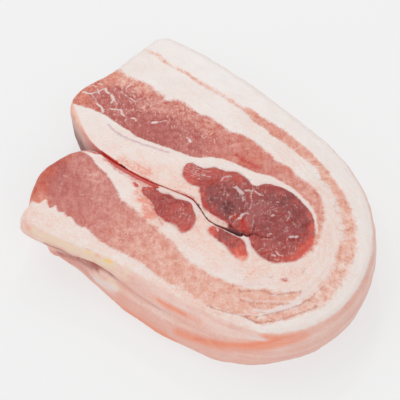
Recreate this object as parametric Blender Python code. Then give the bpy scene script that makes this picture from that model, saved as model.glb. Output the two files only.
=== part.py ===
"""A thick slice of raw pork belly, folded double into a U and lying on its cut face.

The slice is modelled straight, as a block whose length runs along the belly, whose width runs
from the inner membrane to the rind, and whose height is the thickness that was cut. Each point
of the block is then laid on the fold's ribs: a rib goes straight across the belly, from the
membrane inside the fold to the rind outside it. Metres, +Z up, origin under the middle of the slice.
"""

from typing import NamedTuple

import bmesh
import bpy
import numpy as np

MM = 0.001


class Rib(NamedTuple):
    """One line straight across the belly, in plan, and the shape of the rind wall at its end."""

    membrane: tuple           # x, y of its end in the fold
    rind: tuple               # x, y of its end at the rind
    foot: float = 0.0         # how far the rind's foot stands out from its top edge
    crease: float = 12.0      # height of the crease that folds the rind lengthwise
    depth: float = 0.0        # depth of that crease, from 0 for none to 1 for a full fold


# Driving dimensions, in millimetres
SLICE_HEIGHT = 23.0
END_CORNER = 5.0          # plan radius of the four corners at the two ends
MEMBRANE_EDGE = 1.6       # rounding of the cut edges along the membrane, in the fold
RIND_EDGE = 3.0           # rounding of the cut edges along the rind

# Ribs from the thick end, round the fold, to the thin end
RIBS = (
    Rib((-70.8, 6.8), (-64.0, 65.4)),
    Rib((-59.0, -1.2), (-53.0, 65.9)),
    Rib((-46.0, -6.6), (-40.0, 64.8)),
    Rib((-33.0, -9.1), (-26.0, 62.6)),
    Rib((-20.0, -10.3), (-10.0, 59.3)),
    Rib((-8.0, -9.2), (4.0, 55.6)),
    Rib((2.0, -8.5), (18.0, 51.6)),
    Rib((8.0, -11.4), (32.0, 46.9)),
    Rib((14.0, -14.5), (45.0, 40.2), foot=-0.5),
    Rib((21.0, -13.9), (57.5, 30.6), foot=-1.0),
    Rib((27.0, -12.6), (68.5, 17.0), foot=-1.5),
    Rib((31.0, -12.9), (75.5, 1.5), foot=-1.8),
    Rib((31.8, -13.8), (77.8, -14.0), foot=-1.8),
    Rib((30.8, -14.7), (74.6, -32.0), foot=-3.0),
    Rib((27.0, -14.9), (63.6, -46.0), foot=-2.6),
    Rib((21.0, -15.0), (47.0, -51.2), foot=3.0, crease=16.8),
    Rib((14.0, -15.4), (31.0, -52.2), foot=4.6, crease=16.0, depth=0.25),
    Rib((8.0, -12.2), (17.0, -52.0), foot=5.0, crease=14.2, depth=0.5),
    Rib((2.0, -9.3), (3.0, -51.6), foot=4.0, crease=15.0, depth=0.6),
    Rib((-8.0, -10.0), (-11.0, -52.0), foot=0.4, crease=17.0, depth=0.8),
    Rib((-20.0, -11.2), (-23.0, -53.6), foot=-4.2, crease=16.5, depth=1.0),
    Rib((-33.0, -10.0), (-35.0, -54.6), foot=-7.0, crease=16.0, depth=1.0),
    Rib((-44.0, -8.6), (-43.0, -54.6), foot=-8.0, crease=15.5, depth=1.0),
    Rib((-50.5, -10.5), (-48.9, -53.6), foot=-8.0, crease=15.5, depth=1.0),
)

# The rind wall's swell, and the fold under the crease
RIND_SWELL = 2.0          # how far the wall stands out at half height
CREASE_PINCH = 1.4        # how far the wall draws in at a full crease
CREASE_WIDTH = 1.3
FOLD_DROP = 3.0           # height over which a full fold steps back to the foot
CREASE_ROW = 0.66         # the share of the block's height whose line follows the crease

# How the two ends swell beyond a straight cut
THICK_END_BULGE = 2.8
THIN_END_BULGE = 6.0
THIN_END_SPAN = 0.80      # the thin end swells over this share of its width, from the membrane
END_SWELL = 1.2           # how far both end walls stand out at half height
END_REACH = 26.0          # how far into the slice an end's shape is felt
OVERHANG = 7.0            # how far the thin end's rind corner stands out over its foot
UNDERCUT = 2.5            # how far the thick end's membrane foot is drawn in

# Low mounds and hollows of the cut face: centre x, y, radius, height
MOUNDS = (
    (37.0, 0.0, 15.0, 1.3),
    (10.0, 3.0, 9.0, 0.5),
    (-2.0, -18.5, 7.0, -1.0),
    (-45.0, -28.0, 16.0, 0.5),
)

# Block divisions along, across and up, and how far their lines crowd towards the block's edges
DIVISIONS = (100, 12, 10)
CROWDING = (0.0, 0.84, 0.55)


def smooth_step(value):
    share = np.clip(value, 0.0, 1.0)
    return share * share * (3.0 - 2.0 * share)


class Fold:
    """The ribs as smooth curves of the distance along the middle of the belly."""

    def __init__(self, ribs):
        self.membrane = np.array([rib.membrane for rib in ribs])
        self.rind = np.array([rib.rind for rib in ribs])
        self.wall = np.array([(rib.foot, rib.crease, rib.depth) for rib in ribs])
        steps = np.diff((self.membrane + self.rind) / 2.0, axis=0)
        self.stations = np.concatenate([[0.0], np.cumsum(np.hypot(*steps.T))])
        self.length = self.stations[-1]

    def read(self, values, along):
        """The smooth curve through the ribs' values, at distances along the belly."""
        slope = np.gradient(values, self.stations, axis=0)
        first = np.clip(np.searchsorted(self.stations, along) - 1, 0, len(values) - 2)
        span = (self.stations[first + 1] - self.stations[first])[:, None]
        t = np.clip((along - self.stations[first])[:, None] / span, 0.0, 1.0)
        return (
            (2 * t**3 - 3 * t**2 + 1) * values[first]
            + (t**3 - 2 * t**2 + t) * span * slope[first]
            + (3 * t**2 - 2 * t**3) * values[first + 1]
            + (t**3 - t**2) * span * slope[first + 1]
        )

    def width(self, along):
        return np.hypot(*self.read(self.rind - self.membrane, along).T)

    def place(self, along, share):
        """Plan position at a distance along and a share of the way from membrane to rind."""
        membrane = self.read(self.membrane, along)
        return membrane + (self.read(self.rind, along) - membrane) * share[:, None]

    def heading(self, along, share):
        """Unit vector along the belly, from the thick end towards the thin end."""
        step = 0.5
        ahead = self.place(np.minimum(along + step, self.length), share)
        way = ahead - self.place(np.maximum(along - step, 0.0), share)
        return way / np.maximum(np.hypot(*way.T), 1e-9)[:, None]


def round_block(along, across, height, length, width):
    """Rounds the block's four corners in plan, then all its edges."""
    share = across / width
    edge = MEMBRANE_EDGE + (RIND_EDGE - MEMBRANE_EDGE) * share
    hold_along = np.clip(along, END_CORNER, length - END_CORNER)
    hold_across = np.clip(across, END_CORNER, width - END_CORNER)
    out = np.stack([along - hold_along, across - hold_across])
    out *= np.abs(out).max(axis=0) / np.maximum(np.hypot(*out), 1e-9)
    core = out * np.minimum(1.0, (END_CORNER - edge) / np.maximum(np.hypot(*out), 1e-9))
    side = out - core
    core_height = np.clip(height, edge, SLICE_HEIGHT - edge)
    rise = height - core_height
    sideways = np.hypot(*side)
    pull = np.maximum(sideways, np.abs(rise)) / np.maximum(np.hypot(sideways, rise), 1e-9)
    side *= pull
    return hold_along + core[0] + side[0], hold_across + core[1] + side[1], core_height + rise * pull


def follow_crease(height, crease, depth):
    """Moves heights up or down so that the block's crease row lies at the crease."""
    shift = (crease - CREASE_ROW * SLICE_HEIGHT) * smooth_step(4.0 * depth)
    return height + shift * np.sin(np.pi * height / SLICE_HEIGHT)


def rind_offset(height, foot, crease, depth):
    """How far the rind wall stands out at a height: its swell, its crease and its foot."""
    swell = RIND_SWELL * np.sin(np.pi * np.clip(height / SLICE_HEIGHT, 0.0, 1.0))
    pinch = CREASE_PINCH * depth * np.exp(-(((height - crease) / CREASE_WIDTH) ** 2))
    lean = 1.0 - height / SLICE_HEIGHT
    step = smooth_step((crease - height) / FOLD_DROP + 0.3)
    full = smooth_step((depth - 0.6) / 0.4)
    return swell - pinch + foot * (lean + (step - lean) * full)


def end_offsets(along, length, share, height):
    """How far a point moves along the belly, out of the thick end or out of the thin end."""
    swell = END_SWELL * np.sin(np.pi * np.clip(height / SLICE_HEIGHT, 0.0, 1.0))
    thick = swell + THICK_END_BULGE * np.exp(-(((share - 0.18) / 0.17) ** 2))
    thin = swell + THIN_END_BULGE * np.sin(np.pi * np.clip(share / THIN_END_SPAN, 0.0, 1.0))
    thin -= OVERHANG * smooth_step((15.0 - height) / 5.0) * smooth_step((share - 0.6) / 0.3)
    near_thick = smooth_step(1.0 - along / END_REACH)
    near_thin = smooth_step(1.0 - (length - along) / END_REACH)
    return thin * near_thin - thick * near_thick


def membrane_offset(along, share, height):
    """How far the thick end's membrane foot is drawn in towards the rind."""
    low = (1.0 - np.clip(height / SLICE_HEIGHT, 0.0, 1.0)) ** 3
    return UNDERCUT * low * smooth_step(1.0 - along / END_REACH) * smooth_step(1.0 - share / 0.3)


def face_relief(plan):
    """Height of the cut face's mounds and hollows at plan positions."""
    relief = np.zeros(len(plan))
    for x, y, radius, height in MOUNDS:
        away = np.hypot(plan[:, 0] - x, plan[:, 1] - y) / radius
        relief += height * np.exp(-away * away)
    return relief


def fold_slice(block):
    """Takes points of the straight block, each 0 to 1 along, across and up, to the folded slice."""
    fold = Fold(RIBS)
    along = block[:, 0] * fold.length
    width = fold.width(along)
    along, across, height = round_block(
        along, block[:, 1] * width, block[:, 2] * SLICE_HEIGHT, fold.length, width
    )
    share = across / fold.width(along)
    near_rind = smooth_step((share - 0.5) / 0.5)
    foot, crease, depth = fold.read(fold.wall, along).T
    height = height + (follow_crease(height, crease, depth) - height) * near_rind
    plan = fold.place(along, share)
    heading = fold.heading(along, share)
    outward = np.stack([-heading[:, 1], heading[:, 0]], axis=1)
    out = rind_offset(height, foot, crease, depth) * near_rind + membrane_offset(along, share, height)
    plan += outward * out[:, None]
    plan += heading * end_offsets(along, fold.length, share, height)[:, None]
    lift = face_relief(plan) * smooth_step(height / SLICE_HEIGHT)
    return np.column_stack([plan, height + lift])


def crowded(share, crowding):
    """Moves evenly spaced shares towards 0 and 1, so that the edges get more lines."""
    return share - crowding * np.sin(2.0 * np.pi * share) / (2.0 * np.pi)


def block_mesh():
    """A unit block cut into a grid, from a cube: its corners run from 0 to 1."""
    bm = bmesh.new()
    bmesh.ops.create_cube(bm, size=1.0)
    bmesh.ops.translate(bm, verts=bm.verts, vec=(0.5, 0.5, 0.5))
    for axis, parts in enumerate(DIVISIONS):
        across = [
            edge
            for edge in bm.edges
            if abs(edge.verts[0].co[axis] - edge.verts[1].co[axis]) > 1e-6
        ]
        bmesh.ops.subdivide_edges(bm, edges=across, cuts=parts - 1, use_grid_fill=True)
    return bm


def centre_on_footprint(points):
    """Puts the origin under the middle of the slice, with its lowest point at height 0."""
    low, high = points.min(axis=0), points.max(axis=0)
    return points - np.array([(low[0] + high[0]) / 2.0, (low[1] + high[1]) / 2.0, low[2]])


def meat_material():
    material = bpy.data.materials.new("raw_pork")
    material.use_nodes = True
    shader = material.node_tree.nodes["Principled BSDF"]
    shader.inputs["Base Color"].default_value = (0.68, 0.42, 0.36, 1.0)
    shader.inputs["Roughness"].default_value = 0.42
    shader.inputs["Metallic"].default_value = 0.0
    return material


def build_slice(collection):
    bm = block_mesh()
    block = np.array([vert.co for vert in bm.verts])
    block = np.column_stack([crowded(block[:, i], CROWDING[i]) for i in range(3)])
    points = centre_on_footprint(fold_slice(block)) * MM
    for vert, point in zip(bm.verts, points):
        vert.co = point
    bmesh.ops.recalc_face_normals(bm, faces=bm.faces)
    mesh = bpy.data.meshes.new("pork_belly")
    bm.to_mesh(mesh)
    bm.free()
    mesh.shade_smooth()
    mesh.materials.append(meat_material())
    collection.objects.link(bpy.data.objects.new("pork_belly", mesh))


def main():
    for obj in list(bpy.data.objects):
        bpy.data.objects.remove(obj)
    collection = bpy.data.collections.new("pork_belly_slab")
    bpy.context.scene.collection.children.link(collection)
    build_slice(collection)


main()
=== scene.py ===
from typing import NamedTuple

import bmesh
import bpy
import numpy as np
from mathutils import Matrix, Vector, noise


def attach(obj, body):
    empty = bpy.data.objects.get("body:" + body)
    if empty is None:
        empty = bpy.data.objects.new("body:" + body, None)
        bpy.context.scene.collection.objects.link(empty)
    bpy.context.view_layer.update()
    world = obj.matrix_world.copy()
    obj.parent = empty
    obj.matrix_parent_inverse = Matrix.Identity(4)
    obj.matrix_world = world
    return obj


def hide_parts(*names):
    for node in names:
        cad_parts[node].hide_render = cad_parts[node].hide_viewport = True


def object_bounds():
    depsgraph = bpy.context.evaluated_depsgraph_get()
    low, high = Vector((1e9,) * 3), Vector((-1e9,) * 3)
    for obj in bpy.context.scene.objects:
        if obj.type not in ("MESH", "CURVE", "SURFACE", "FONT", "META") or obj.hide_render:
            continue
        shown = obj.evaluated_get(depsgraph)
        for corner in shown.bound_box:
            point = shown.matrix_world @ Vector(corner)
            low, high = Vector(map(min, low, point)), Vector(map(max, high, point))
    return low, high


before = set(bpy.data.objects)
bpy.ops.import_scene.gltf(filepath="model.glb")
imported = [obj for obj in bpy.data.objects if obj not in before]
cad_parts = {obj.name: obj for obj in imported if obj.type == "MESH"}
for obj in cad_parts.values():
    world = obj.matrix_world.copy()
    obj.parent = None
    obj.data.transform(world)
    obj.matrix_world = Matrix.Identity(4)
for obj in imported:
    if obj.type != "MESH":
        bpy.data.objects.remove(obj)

# A thick slice of raw pork belly, folded double into a U and lying on its cut face.
#
# The slice is modelled straight, as a block: along the belly, across it from the inner membrane
# to the rind, and up through the thickness that was cut. fold_slice() lays the block on the ribs
# of the fold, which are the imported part's own. The belly's layers run straight through the
# thickness, so its lean, muscles and seams are drawn once, in plan, and every point of the mesh
# keeps its distance to them as an attribute. The raw_pork material cuts its borders from those.
# Lengths are in millimetres until the mesh is written; plan positions are on the fold's own axes.

CAD_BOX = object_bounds()
MM = 0.001
# The muscles and the strokes are drawn on a level plane DRAWN_HEIGHT up, and projected onto the
# cut face down a slant: so much of x and y for each millimetre down
DRAWN_HEIGHT = 24.0
DRAWN_SLANT = np.array([0.5, -0.75])
GRAIN_TURN = 0.98              # turns the way the lean's fibres run onto the x axis
FOLD_CENTRE = (2.94, 5.30)     # the plan position that lies over the part's origin


class Rib(NamedTuple):
    """One line straight across the belly, in plan, and the shape of the rind wall at its end."""

    membrane: tuple
    rind: tuple
    foot: float = 0.0
    crease: float = 12.0
    depth: float = 0.0


# ---------------------------------------------------------------------------------------------
# The slice's shape: the ribs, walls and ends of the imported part
# ---------------------------------------------------------------------------------------------

SLICE_HEIGHT = 23.0
END_CORNER = 5.0
MEMBRANE_EDGE = 2.4      # at the two ends; the slit's edges are SLIT_EDGE
SLIT_EDGE = 0.4
RIND_EDGE = 3.0

RIBS = (
    Rib((-70.8, 6.8), (-64.0, 65.4)),
    Rib((-59.0, -1.2), (-53.0, 65.9)),
    Rib((-46.0, -6.8), (-40.0, 64.8)),
    Rib((-33.0, -9.4), (-26.0, 62.6)),
    Rib((-20.0, -10.5), (-10.0, 59.3)),
    Rib((-8.0, -9.4), (4.0, 55.6)),
    Rib((2.0, -8.7), (18.0, 51.6)),
    Rib((8.0, -11.6), (32.0, 46.9)),
    Rib((13.6, -14.6), (45.0, 40.2), foot=-0.5),
    Rib((20.0, -14.5), (57.5, 30.6), foot=-1.0),
    Rib((24.4, -13.3), (68.5, 17.0), foot=-1.5),
    Rib((28.0, -13.7), (75.5, 1.5), foot=-1.8),
    Rib((28.8, -14.5), (77.8, -14.0), foot=-1.8),
    Rib((28.0, -15.3), (74.6, -32.0), foot=-3.0),
    Rib((24.8, -15.3), (63.6, -46.0), foot=-2.6),
    Rib((20.2, -15.2), (47.0, -51.2), foot=3.0, crease=16.8),
    Rib((13.8, -15.2), (31.0, -52.2), foot=4.6, crease=16.0, depth=0.25),
    Rib((8.0, -12.0), (17.0, -52.0), foot=5.0, crease=14.2, depth=0.5),
    Rib((2.0, -9.1), (3.0, -51.6), foot=4.0, crease=15.0, depth=0.6),
    Rib((-8.0, -9.8), (-11.0, -52.0), foot=0.4, crease=17.0, depth=0.8),
    Rib((-20.0, -10.95), (-23.0, -53.6), foot=-4.2, crease=16.5, depth=1.0),
    Rib((-33.0, -9.8), (-35.0, -54.6), foot=-6.2, crease=16.0, depth=1.0),
    Rib((-44.0, -8.4), (-43.0, -54.6), foot=-6.6, crease=15.5, depth=1.0),
    Rib((-50.5, -10.5), (-48.9, -53.6), foot=-6.6, crease=15.5, depth=1.0),
)

RIND_SWELL = 2.0
CREASE_PINCH = 2.0
CREASE_WIDTH = 0.9
FOLD_DROP = 3.0
CREASE_ROW = 0.66
THICK_END_BULGE = 2.8
THIN_END_BULGE = 6.0
THIN_END_SPAN = 0.80
END_SWELL = 1.2
END_REACH = 26.0
OVERHANG = 7.0
UNDERCUT = 2.5

# Low mounds and hollows of the cut face: centre x, y, radius, height
MOUNDS = (
    (37.0, 0.0, 15.0, 1.3),
    (10.0, 3.0, 9.0, 0.5),
    (-2.0, -18.5, 7.0, -1.0),
    (-45.0, -28.0, 16.0, 0.5),
)

# Rolls of tissue that stand up from the cut face, and hollows: half width, strength, points
HOLLOW_DEPTH = 3.0
HOLLOWS = (
    (0.9, 1.0, ((23, -14.4), (25, -14.8), (28.4, -14.4))),
    (0.3, 0.5, ((28.4, -14.2), (31, -13.2))),
)
ROLL_HEIGHT = 0.8
ROLLS = (
    (1.2, 0.9, ((5.4, -9.4), (8, -12), (12, -13.6), (17, -14.4), (20, -14.2), (22, -13))),
    (1.0, 0.5, ((-10, -12.6), (-6, -12.2), (0, -12), (3.6, -11.8), (6.6, -13.4), (8.6, -15))),
    (2.6, 0.8, ((-6.4, 2.6), (-2, 2.6), (2, 4.4), (4.4, 6.4))),
    (1.2, 0.6, ((7.4, 3.4), (7.6, 6), (9, 8))),
    (1.0, 0.8, ((23.6, -11.6), (24, -8), (24.6, -5.4))),
    (1.2, 0.7, ((27, -6), (28.2, -9), (29, -12))),
)

# Block divisions along, across and up; the lines across crowd towards the two sides by CROWDING,
# and the rows up crowd at the edges and round the crease
DIVISIONS = (520, 120, 24)
BOTTOM_STEP = 4
CROWDING = 0.30
ROW_SHARES = (0.0, 2 / 24, 9 / 24, 15 / 24, 18 / 24, 1.0)
ROW_HEIGHTS = (0.0, 0.10, 0.53, 0.78, 0.87, 1.0)

# ---------------------------------------------------------------------------------------------
# The cut face, in plan: outlines of the lean and of the muscles
# ---------------------------------------------------------------------------------------------

UPPER_LEAN = (
    (-84, 36), (-72, 36), (-65, 35.5), (-60, 34.5), (-52, 35), (-48, 35), (-44, 33.5), (-40.5, 33),
    (-37.5, 31), (-35, 33.5), (-30, 34), (-21, 32), (-17, 33), (-10, 31.5), (-5, 30.5),
    (0, 31.5), (5, 31), (10, 30), (16, 28), (18.5, 26.5), (25, 26.5), (30, 24), (36, 23),
    (40, 21.5), (44, 19), (47, 15.5), (50, 11), (52, 6), (53.5, 2), (54.5, -4), (54, -10),
    (53.4, -5), (52.5, -1), (51, 3), (48, 8), (45, 11.5), (38, 15.2), (32, 17), (25, 18),
    (20, 17.8), (15, 16.5), (5, 16.2), (0, 15.5), (-5, 13.5), (-7, 11.5), (-10, 10), (-15, 9.3),
    (-25, 8), (-35, 6.8), (-40, 7.8), (-48, 8.8), (-55, 10), (-67, 8.5), (-84, 5),
)
OUTER_STRIPE = (
    (-84, 51.8), (-72, 52), (-60, 53.8), (-50, 51.3), (-40, 50.7), (-30, 48.8), (-20, 47.8),
    (-15, 46.4), (-10, 45.8), (-5, 46.5), (0, 45), (5, 44.3), (10, 43.5), (15, 42.5), (20, 41),
    (25, 39.5), (30, 37.5), (35, 35), (40, 32.5), (45, 29.5), (50, 26), (55, 21.5), (60, 16),
    (65, 9), (69, 0), (71, -12), (71.4, -20), (70, -27), (67.4, -32), (65, -36), (61.4, -40.5),
    (56.5, -45.8), (54, -46.6), (54.6, -43), (59, -37), (63, -32), (64.6, -27), (65, -20), (65.5, -12),
    (63.5, -5), (62, 0), (60, 8.5), (55, 15), (50, 21), (45, 25), (40, 27.5), (35, 31.5),
    (30, 33), (25, 34.5), (20, 36), (15, 37.5), (10, 38), (5, 40), (0, 40.5), (-5, 43),
    (-10, 44.4), (-15, 44.9), (-20, 46.3), (-30, 47.2), (-40, 49.3), (-50, 49.9), (-60, 52.2),
    (-72, 51.1), (-84, 51),
)
LOWER_LEAN = (
    (-66, -11), (-50, -12.5), (-45, -12.5), (-40, -15), (-35, -16.5), (-31, -18), (-25, -21.5),
    (-20, -25), (-15, -25.5), (-10, -27), (0, -29.5), (8, -31.5), (12, -33), (16, -35),
    (20, -36), (30, -37), (40, -35.5), (45, -34.5), (49, -31.5), (52, -31), (56, -29),
    (61, -25.5), (60.5, -30), (56, -37), (53.5, -42), (54, -46), (49.5, -46.2), (45, -46.8),
    (38, -48.5), (28, -48.5), (23, -47.3), (18, -48.5), (10, -47.5), (5, -46.2), (0, -46),
    (-8, -46.5), (-15, -46), (-23, -44), (-25, -44.7), (-28.5, -44), (-31, -43), (-33, -43.4),
    (-34.5, -42.4), (-36.5, -43.2), (-38.5, -42.6), (-39.8, -41), (-40.5, -43.6), (-42.5, -42.6),
    (-45, -41), (-46, -44.3), (-48.5, -44.3), (-66, -44),
)
BIG_MUSCLE = (
    (-9.5, 4.5), (-8, 6.3), (-3, 6), (-0.5, 8), (1, 9.6), (5, 9.4), (9, 12), (15, 11.2),
    (18.5, 9.6), (20.5, 10.2), (21.5, 12.3), (25, 14.3), (29, 14.9), (35, 14.2), (40, 12),
    (45, 9.6), (48, 6.5), (51, 2), (53, -2), (54, -6), (53.3, -11), (52, -14.5), (49.5, -17),
    (46, -19.6), (41, -19.8), (37, -18.6), (33.5, -16.6), (31.5, -14.4), (29, -14.3), (26, -14.3),
    (23, -13.8), (19, -12.9), (12, -12.4), (8.6, -11.4), (6.6, -9), (5, -7), (2.8, -4.6), (1.2, -2.9),
    (-1.5, -3.8), (-5, -3), (-7.5, -1.2), (-9, 1.5),
)
SMALL_MUSCLE = (
    (-17, -15.3), (-14.5, -13.4), (-12, -12.4), (-10, -13.9), (-8, -14), (-5.5, -12.9), (-2.5, -13.4),
    (0, -12.6), (2.5, -11.9), (4.8, -12.6), (6.5, -14.6), (8.8, -16.2), (10.3, -19), (11, -22.3),
    (9.8, -25.8), (8, -26.3), (5.8, -24.9), (0, -24.8), (-3, -24.2), (-5.5, -22.9), (-8, -20.8),
    (-11, -19.4), (-14.5, -18.5), (-16.2, -17),
)
THIRD_MUSCLE = (
    (16.3, -18.4), (17.6, -16.8), (21, -16.4), (25, -16.3), (29, -16.4), (32.3, -17.6), (34.2, -20),
    (36.4, -22.6), (36, -25), (33, -25.3), (29.5, -24.2), (26, -22.6), (20, -21.5), (17.2, -20.4),
)

# Levels at spots of the cut face, blended between them: centre x, y, reach, level.
# How deep the lean's colour is, from nearly fat to deep red
LEAN_DEPTHS = (
    (-68, 23, 4, 0.90), (-66, 31, 5, 0.68), (-68, 12, 4, 0.90), (-61, 11, 4, 0.95),
    (-60, 31, 4, 0.60), (-62, 18, 4, 1.12), (-58, 24, 5, 1.02), (-50, 21, 7, 1.08),
    (-50, 32, 4, 0.62), (-44, 25, 4, 0.80), (-40, 12, 7, 1.08), (-38, 28, 5, 0.78),
    (-28, 15, 8, 1.08), (-26, 29, 5, 0.76), (-24, 23, 4, 0.92), (-15, 17, 7, 1.00),
    (-13, 28, 5, 0.76), (-5, 17, 5, 0.86), (-2, 27, 5, 0.80), (4, 22, 5, 0.84),
    (10, 20, 4, 0.92), (12, 26, 4, 0.76), (20, 22, 5, 0.78), (28, 22, 5, 0.66), (34, 19, 5, 0.66),
    (40, 17, 5, 0.64), (46, 13, 4, 0.58), (50, 8, 4, 0.54), (53, 0, 4, 0.48),
    (-62, 52, 5, 0.22), (-45, 50, 6, 0.34), (-30, 48, 6, 0.40), (-17, 45.5, 4, 0.36),
    (-8, 45, 5, 0.50), (2, 42, 5, 0.66), (12, 40, 6, 0.64), (22, 37, 6, 0.54), (32, 33, 6, 0.50),
    (42, 28, 6, 0.40), (52, 21, 6, 0.44), (60, 10, 6, 0.37), (65, 0, 6, 0.34), (68, -13, 7, 0.31),
    (67, -26, 6, 0.34), (60, -39, 5, 0.43),
    (-52, -22, 4, 1.08), (-47, -18, 5, 0.80), (-50, -33, 4, 1.06), (-46, -42, 3, 0.80),
    (-43, -30, 6, 0.96), (-36, -22, 5, 0.72), (-34, -34, 7, 0.88), (-26, -27, 6, 0.72),
    (-24, -38, 7, 0.80), (-14, -34, 7, 0.66), (-8, -43, 5, 0.64), (0, -36, 7, 0.57),
    (10, -40, 7, 0.52), (22, -42, 7, 0.46), (34, -42, 7, 0.42), (45, -40, 6, 0.41), (55, -33, 5, 0.38),
)

# How orange the lean is, from mauve-rose to orange
LEAN_HEATS = (
    (-68, 22, 3, 0.90), (-65, 32, 5, 0.90), (-68, 12, 4, 0.85), (-60, 31, 4, 0.65),
    (-62, 18, 4, 0.15), (-62, 10, 4, 0.60), (-58, 24, 5, 0.25), (-50, 20, 7, 0.10),
    (-50, 32, 4, 0.60), (-38, 14, 8, 0.10), (-36, 29, 5, 0.40), (-26, 16, 8, 0.05),
    (-24, 29, 5, 0.40), (-14, 17, 5, 0.15), (-12, 28, 5, 0.50), (-4, 20, 5, 0.40), (4, 26, 5, 0.55),
    (10, 20, 5, 0.70), (20, 22, 6, 0.45), (30, 20, 6, 0.40), (42, 16, 6, 0.50), (52, 2, 5, 0.45),
    (-30, 48, 12, 0.70), (5, 42, 10, 0.60), (30, 34, 10, 0.65), (60, 10, 10, 0.60),
    (68, -14, 10, 0.55), (60, -39, 8, 0.65),
    (-53, -20, 3, 0.55), (-53, -29, 3, 0.85), (-50, -37, 3, 1.00), (-46, -43, 3, 1.00),
    (-45, -26, 6, 0.12), (-42, -34, 6, 0.15), (-32, -28, 8, 0.12), (-24, -38, 7, 0.25),
    (-10, -37, 8, 0.35), (5, -40, 8, 0.50), (22, -42, 8, 0.55), (44, -40, 8, 0.60),
)

# How dark the muscles are: 0 for orange-red, 1 for maroon
MUSCLE_DEPTHS = (
    (-8, 3, 3, 0.30), (-3, 3, 4, 0.40), (-4, -2, 3, 0.24), (2, 7, 3, 0.34), (3, 3, 3, 0.46),
    (7, 9, 3, 0.40), (12, 9, 3, 0.42), (3, -3, 2, 0.40), (5, -6, 2, 0.36), (8, -9.5, 2, 0.40),
    (7, -2, 3, 0.82), (10, -5, 3, 0.92), (13, 0, 3, 0.78), (12, -9, 2.5, 0.66), (17, -6, 3, 1.12),
    (17, 1, 3, 0.86), (15, -10.5, 2, 0.72), (20, -11, 2, 0.74), (21, -4, 3, 0.84), (21, 4, 3, 0.62),
    (18, 8.5, 2, 0.56), (24, 11, 3, 0.58), (30, 12, 3, 0.62), (28, 7, 4, 0.86), (28, 1, 4, 0.74),
    (33, 9, 4, 0.90), (38, 11, 3, 0.60), (35, 3, 4, 0.70), (32, -3, 3, 0.78), (33, -8, 3, 0.86),
    (38, -2, 4, 0.72), (40, 6, 4, 0.84), (44, 2, 4, 0.80), (44, -5, 4, 0.72), (40, -8, 4, 0.76),
    (48, -4, 3, 0.60), (46, 9, 3, 0.36), (50, 3.5, 2.5, 0.20), (52.6, -3, 3, 0.06), (52.6, -8, 3, 0.06),
    (51.6, -13, 3, 0.10),
    (46, -11, 4, 0.60), (38, -13, 4, 0.56), (42, -17, 4, 0.50), (48, -17, 3, 0.36), (34, -15, 2, 0.46),
    (27, -10, 3, 0.42), (29, -6, 3, 0.66), (23, -9, 2, 0.62),
    (-15, -15, 3, 0.36), (-10, -16.5, 3, 0.54), (-5, -14, 3, 0.60), (-5, -19, 4, 0.56),
    (0, -15, 4, 0.52), (2, -20, 4, 0.44), (6, -17, 3, 0.46), (8, -22, 3, 0.36), (9, -25, 2, 0.20),
    (18, -18.5, 3, 0.10), (23, -18, 3, 0.66), (28, -19.5, 3, 0.46), (33, -22, 3, 0.06),
    (35.5, -24, 2, -0.38),
)

# The mauve-grey film over parts of the muscles: partly a thin skin, partly painted sheen of the wet surface
FILMS_AND_SHEEN = (
    (0, 4, 6, 0.00), (8, 6, 2.5, 0.60), (10, -3, 4, 0.30), (5, -7, 3, 0.00), (12, 10, 3, 0.10),
    (16, 4, 3, 0.35), (20, -2, 3, 0.40), (27.5, -4, 3, 0.95), (27, 1, 3, 0.75), (27, 7, 3, 0.45),
    (26, -10.5, 2, 0.10), (33, -2, 3, 0.30), (34, 8, 3, 0.30), (38, -5, 4, 0.35), (42, -4, 3, 0.60),
    (41, -12, 3, 0.60), (40, 4, 4, 0.15), (46, -9, 3, 0.35), (48, 3, 4, 0.00), (52, -6, 4, 0.00),
    (26, 13, 3, 0.00), (36, 13, 3, 0.00), (36, -16, 3, 0.20), (46, -16, 3, 0.15), (18, -9, 3, 0.15),
    (-8, -16, 5, 0.05), (5, -18, 4, 0.15), (26, -20, 8, 0.00),
)

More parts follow.
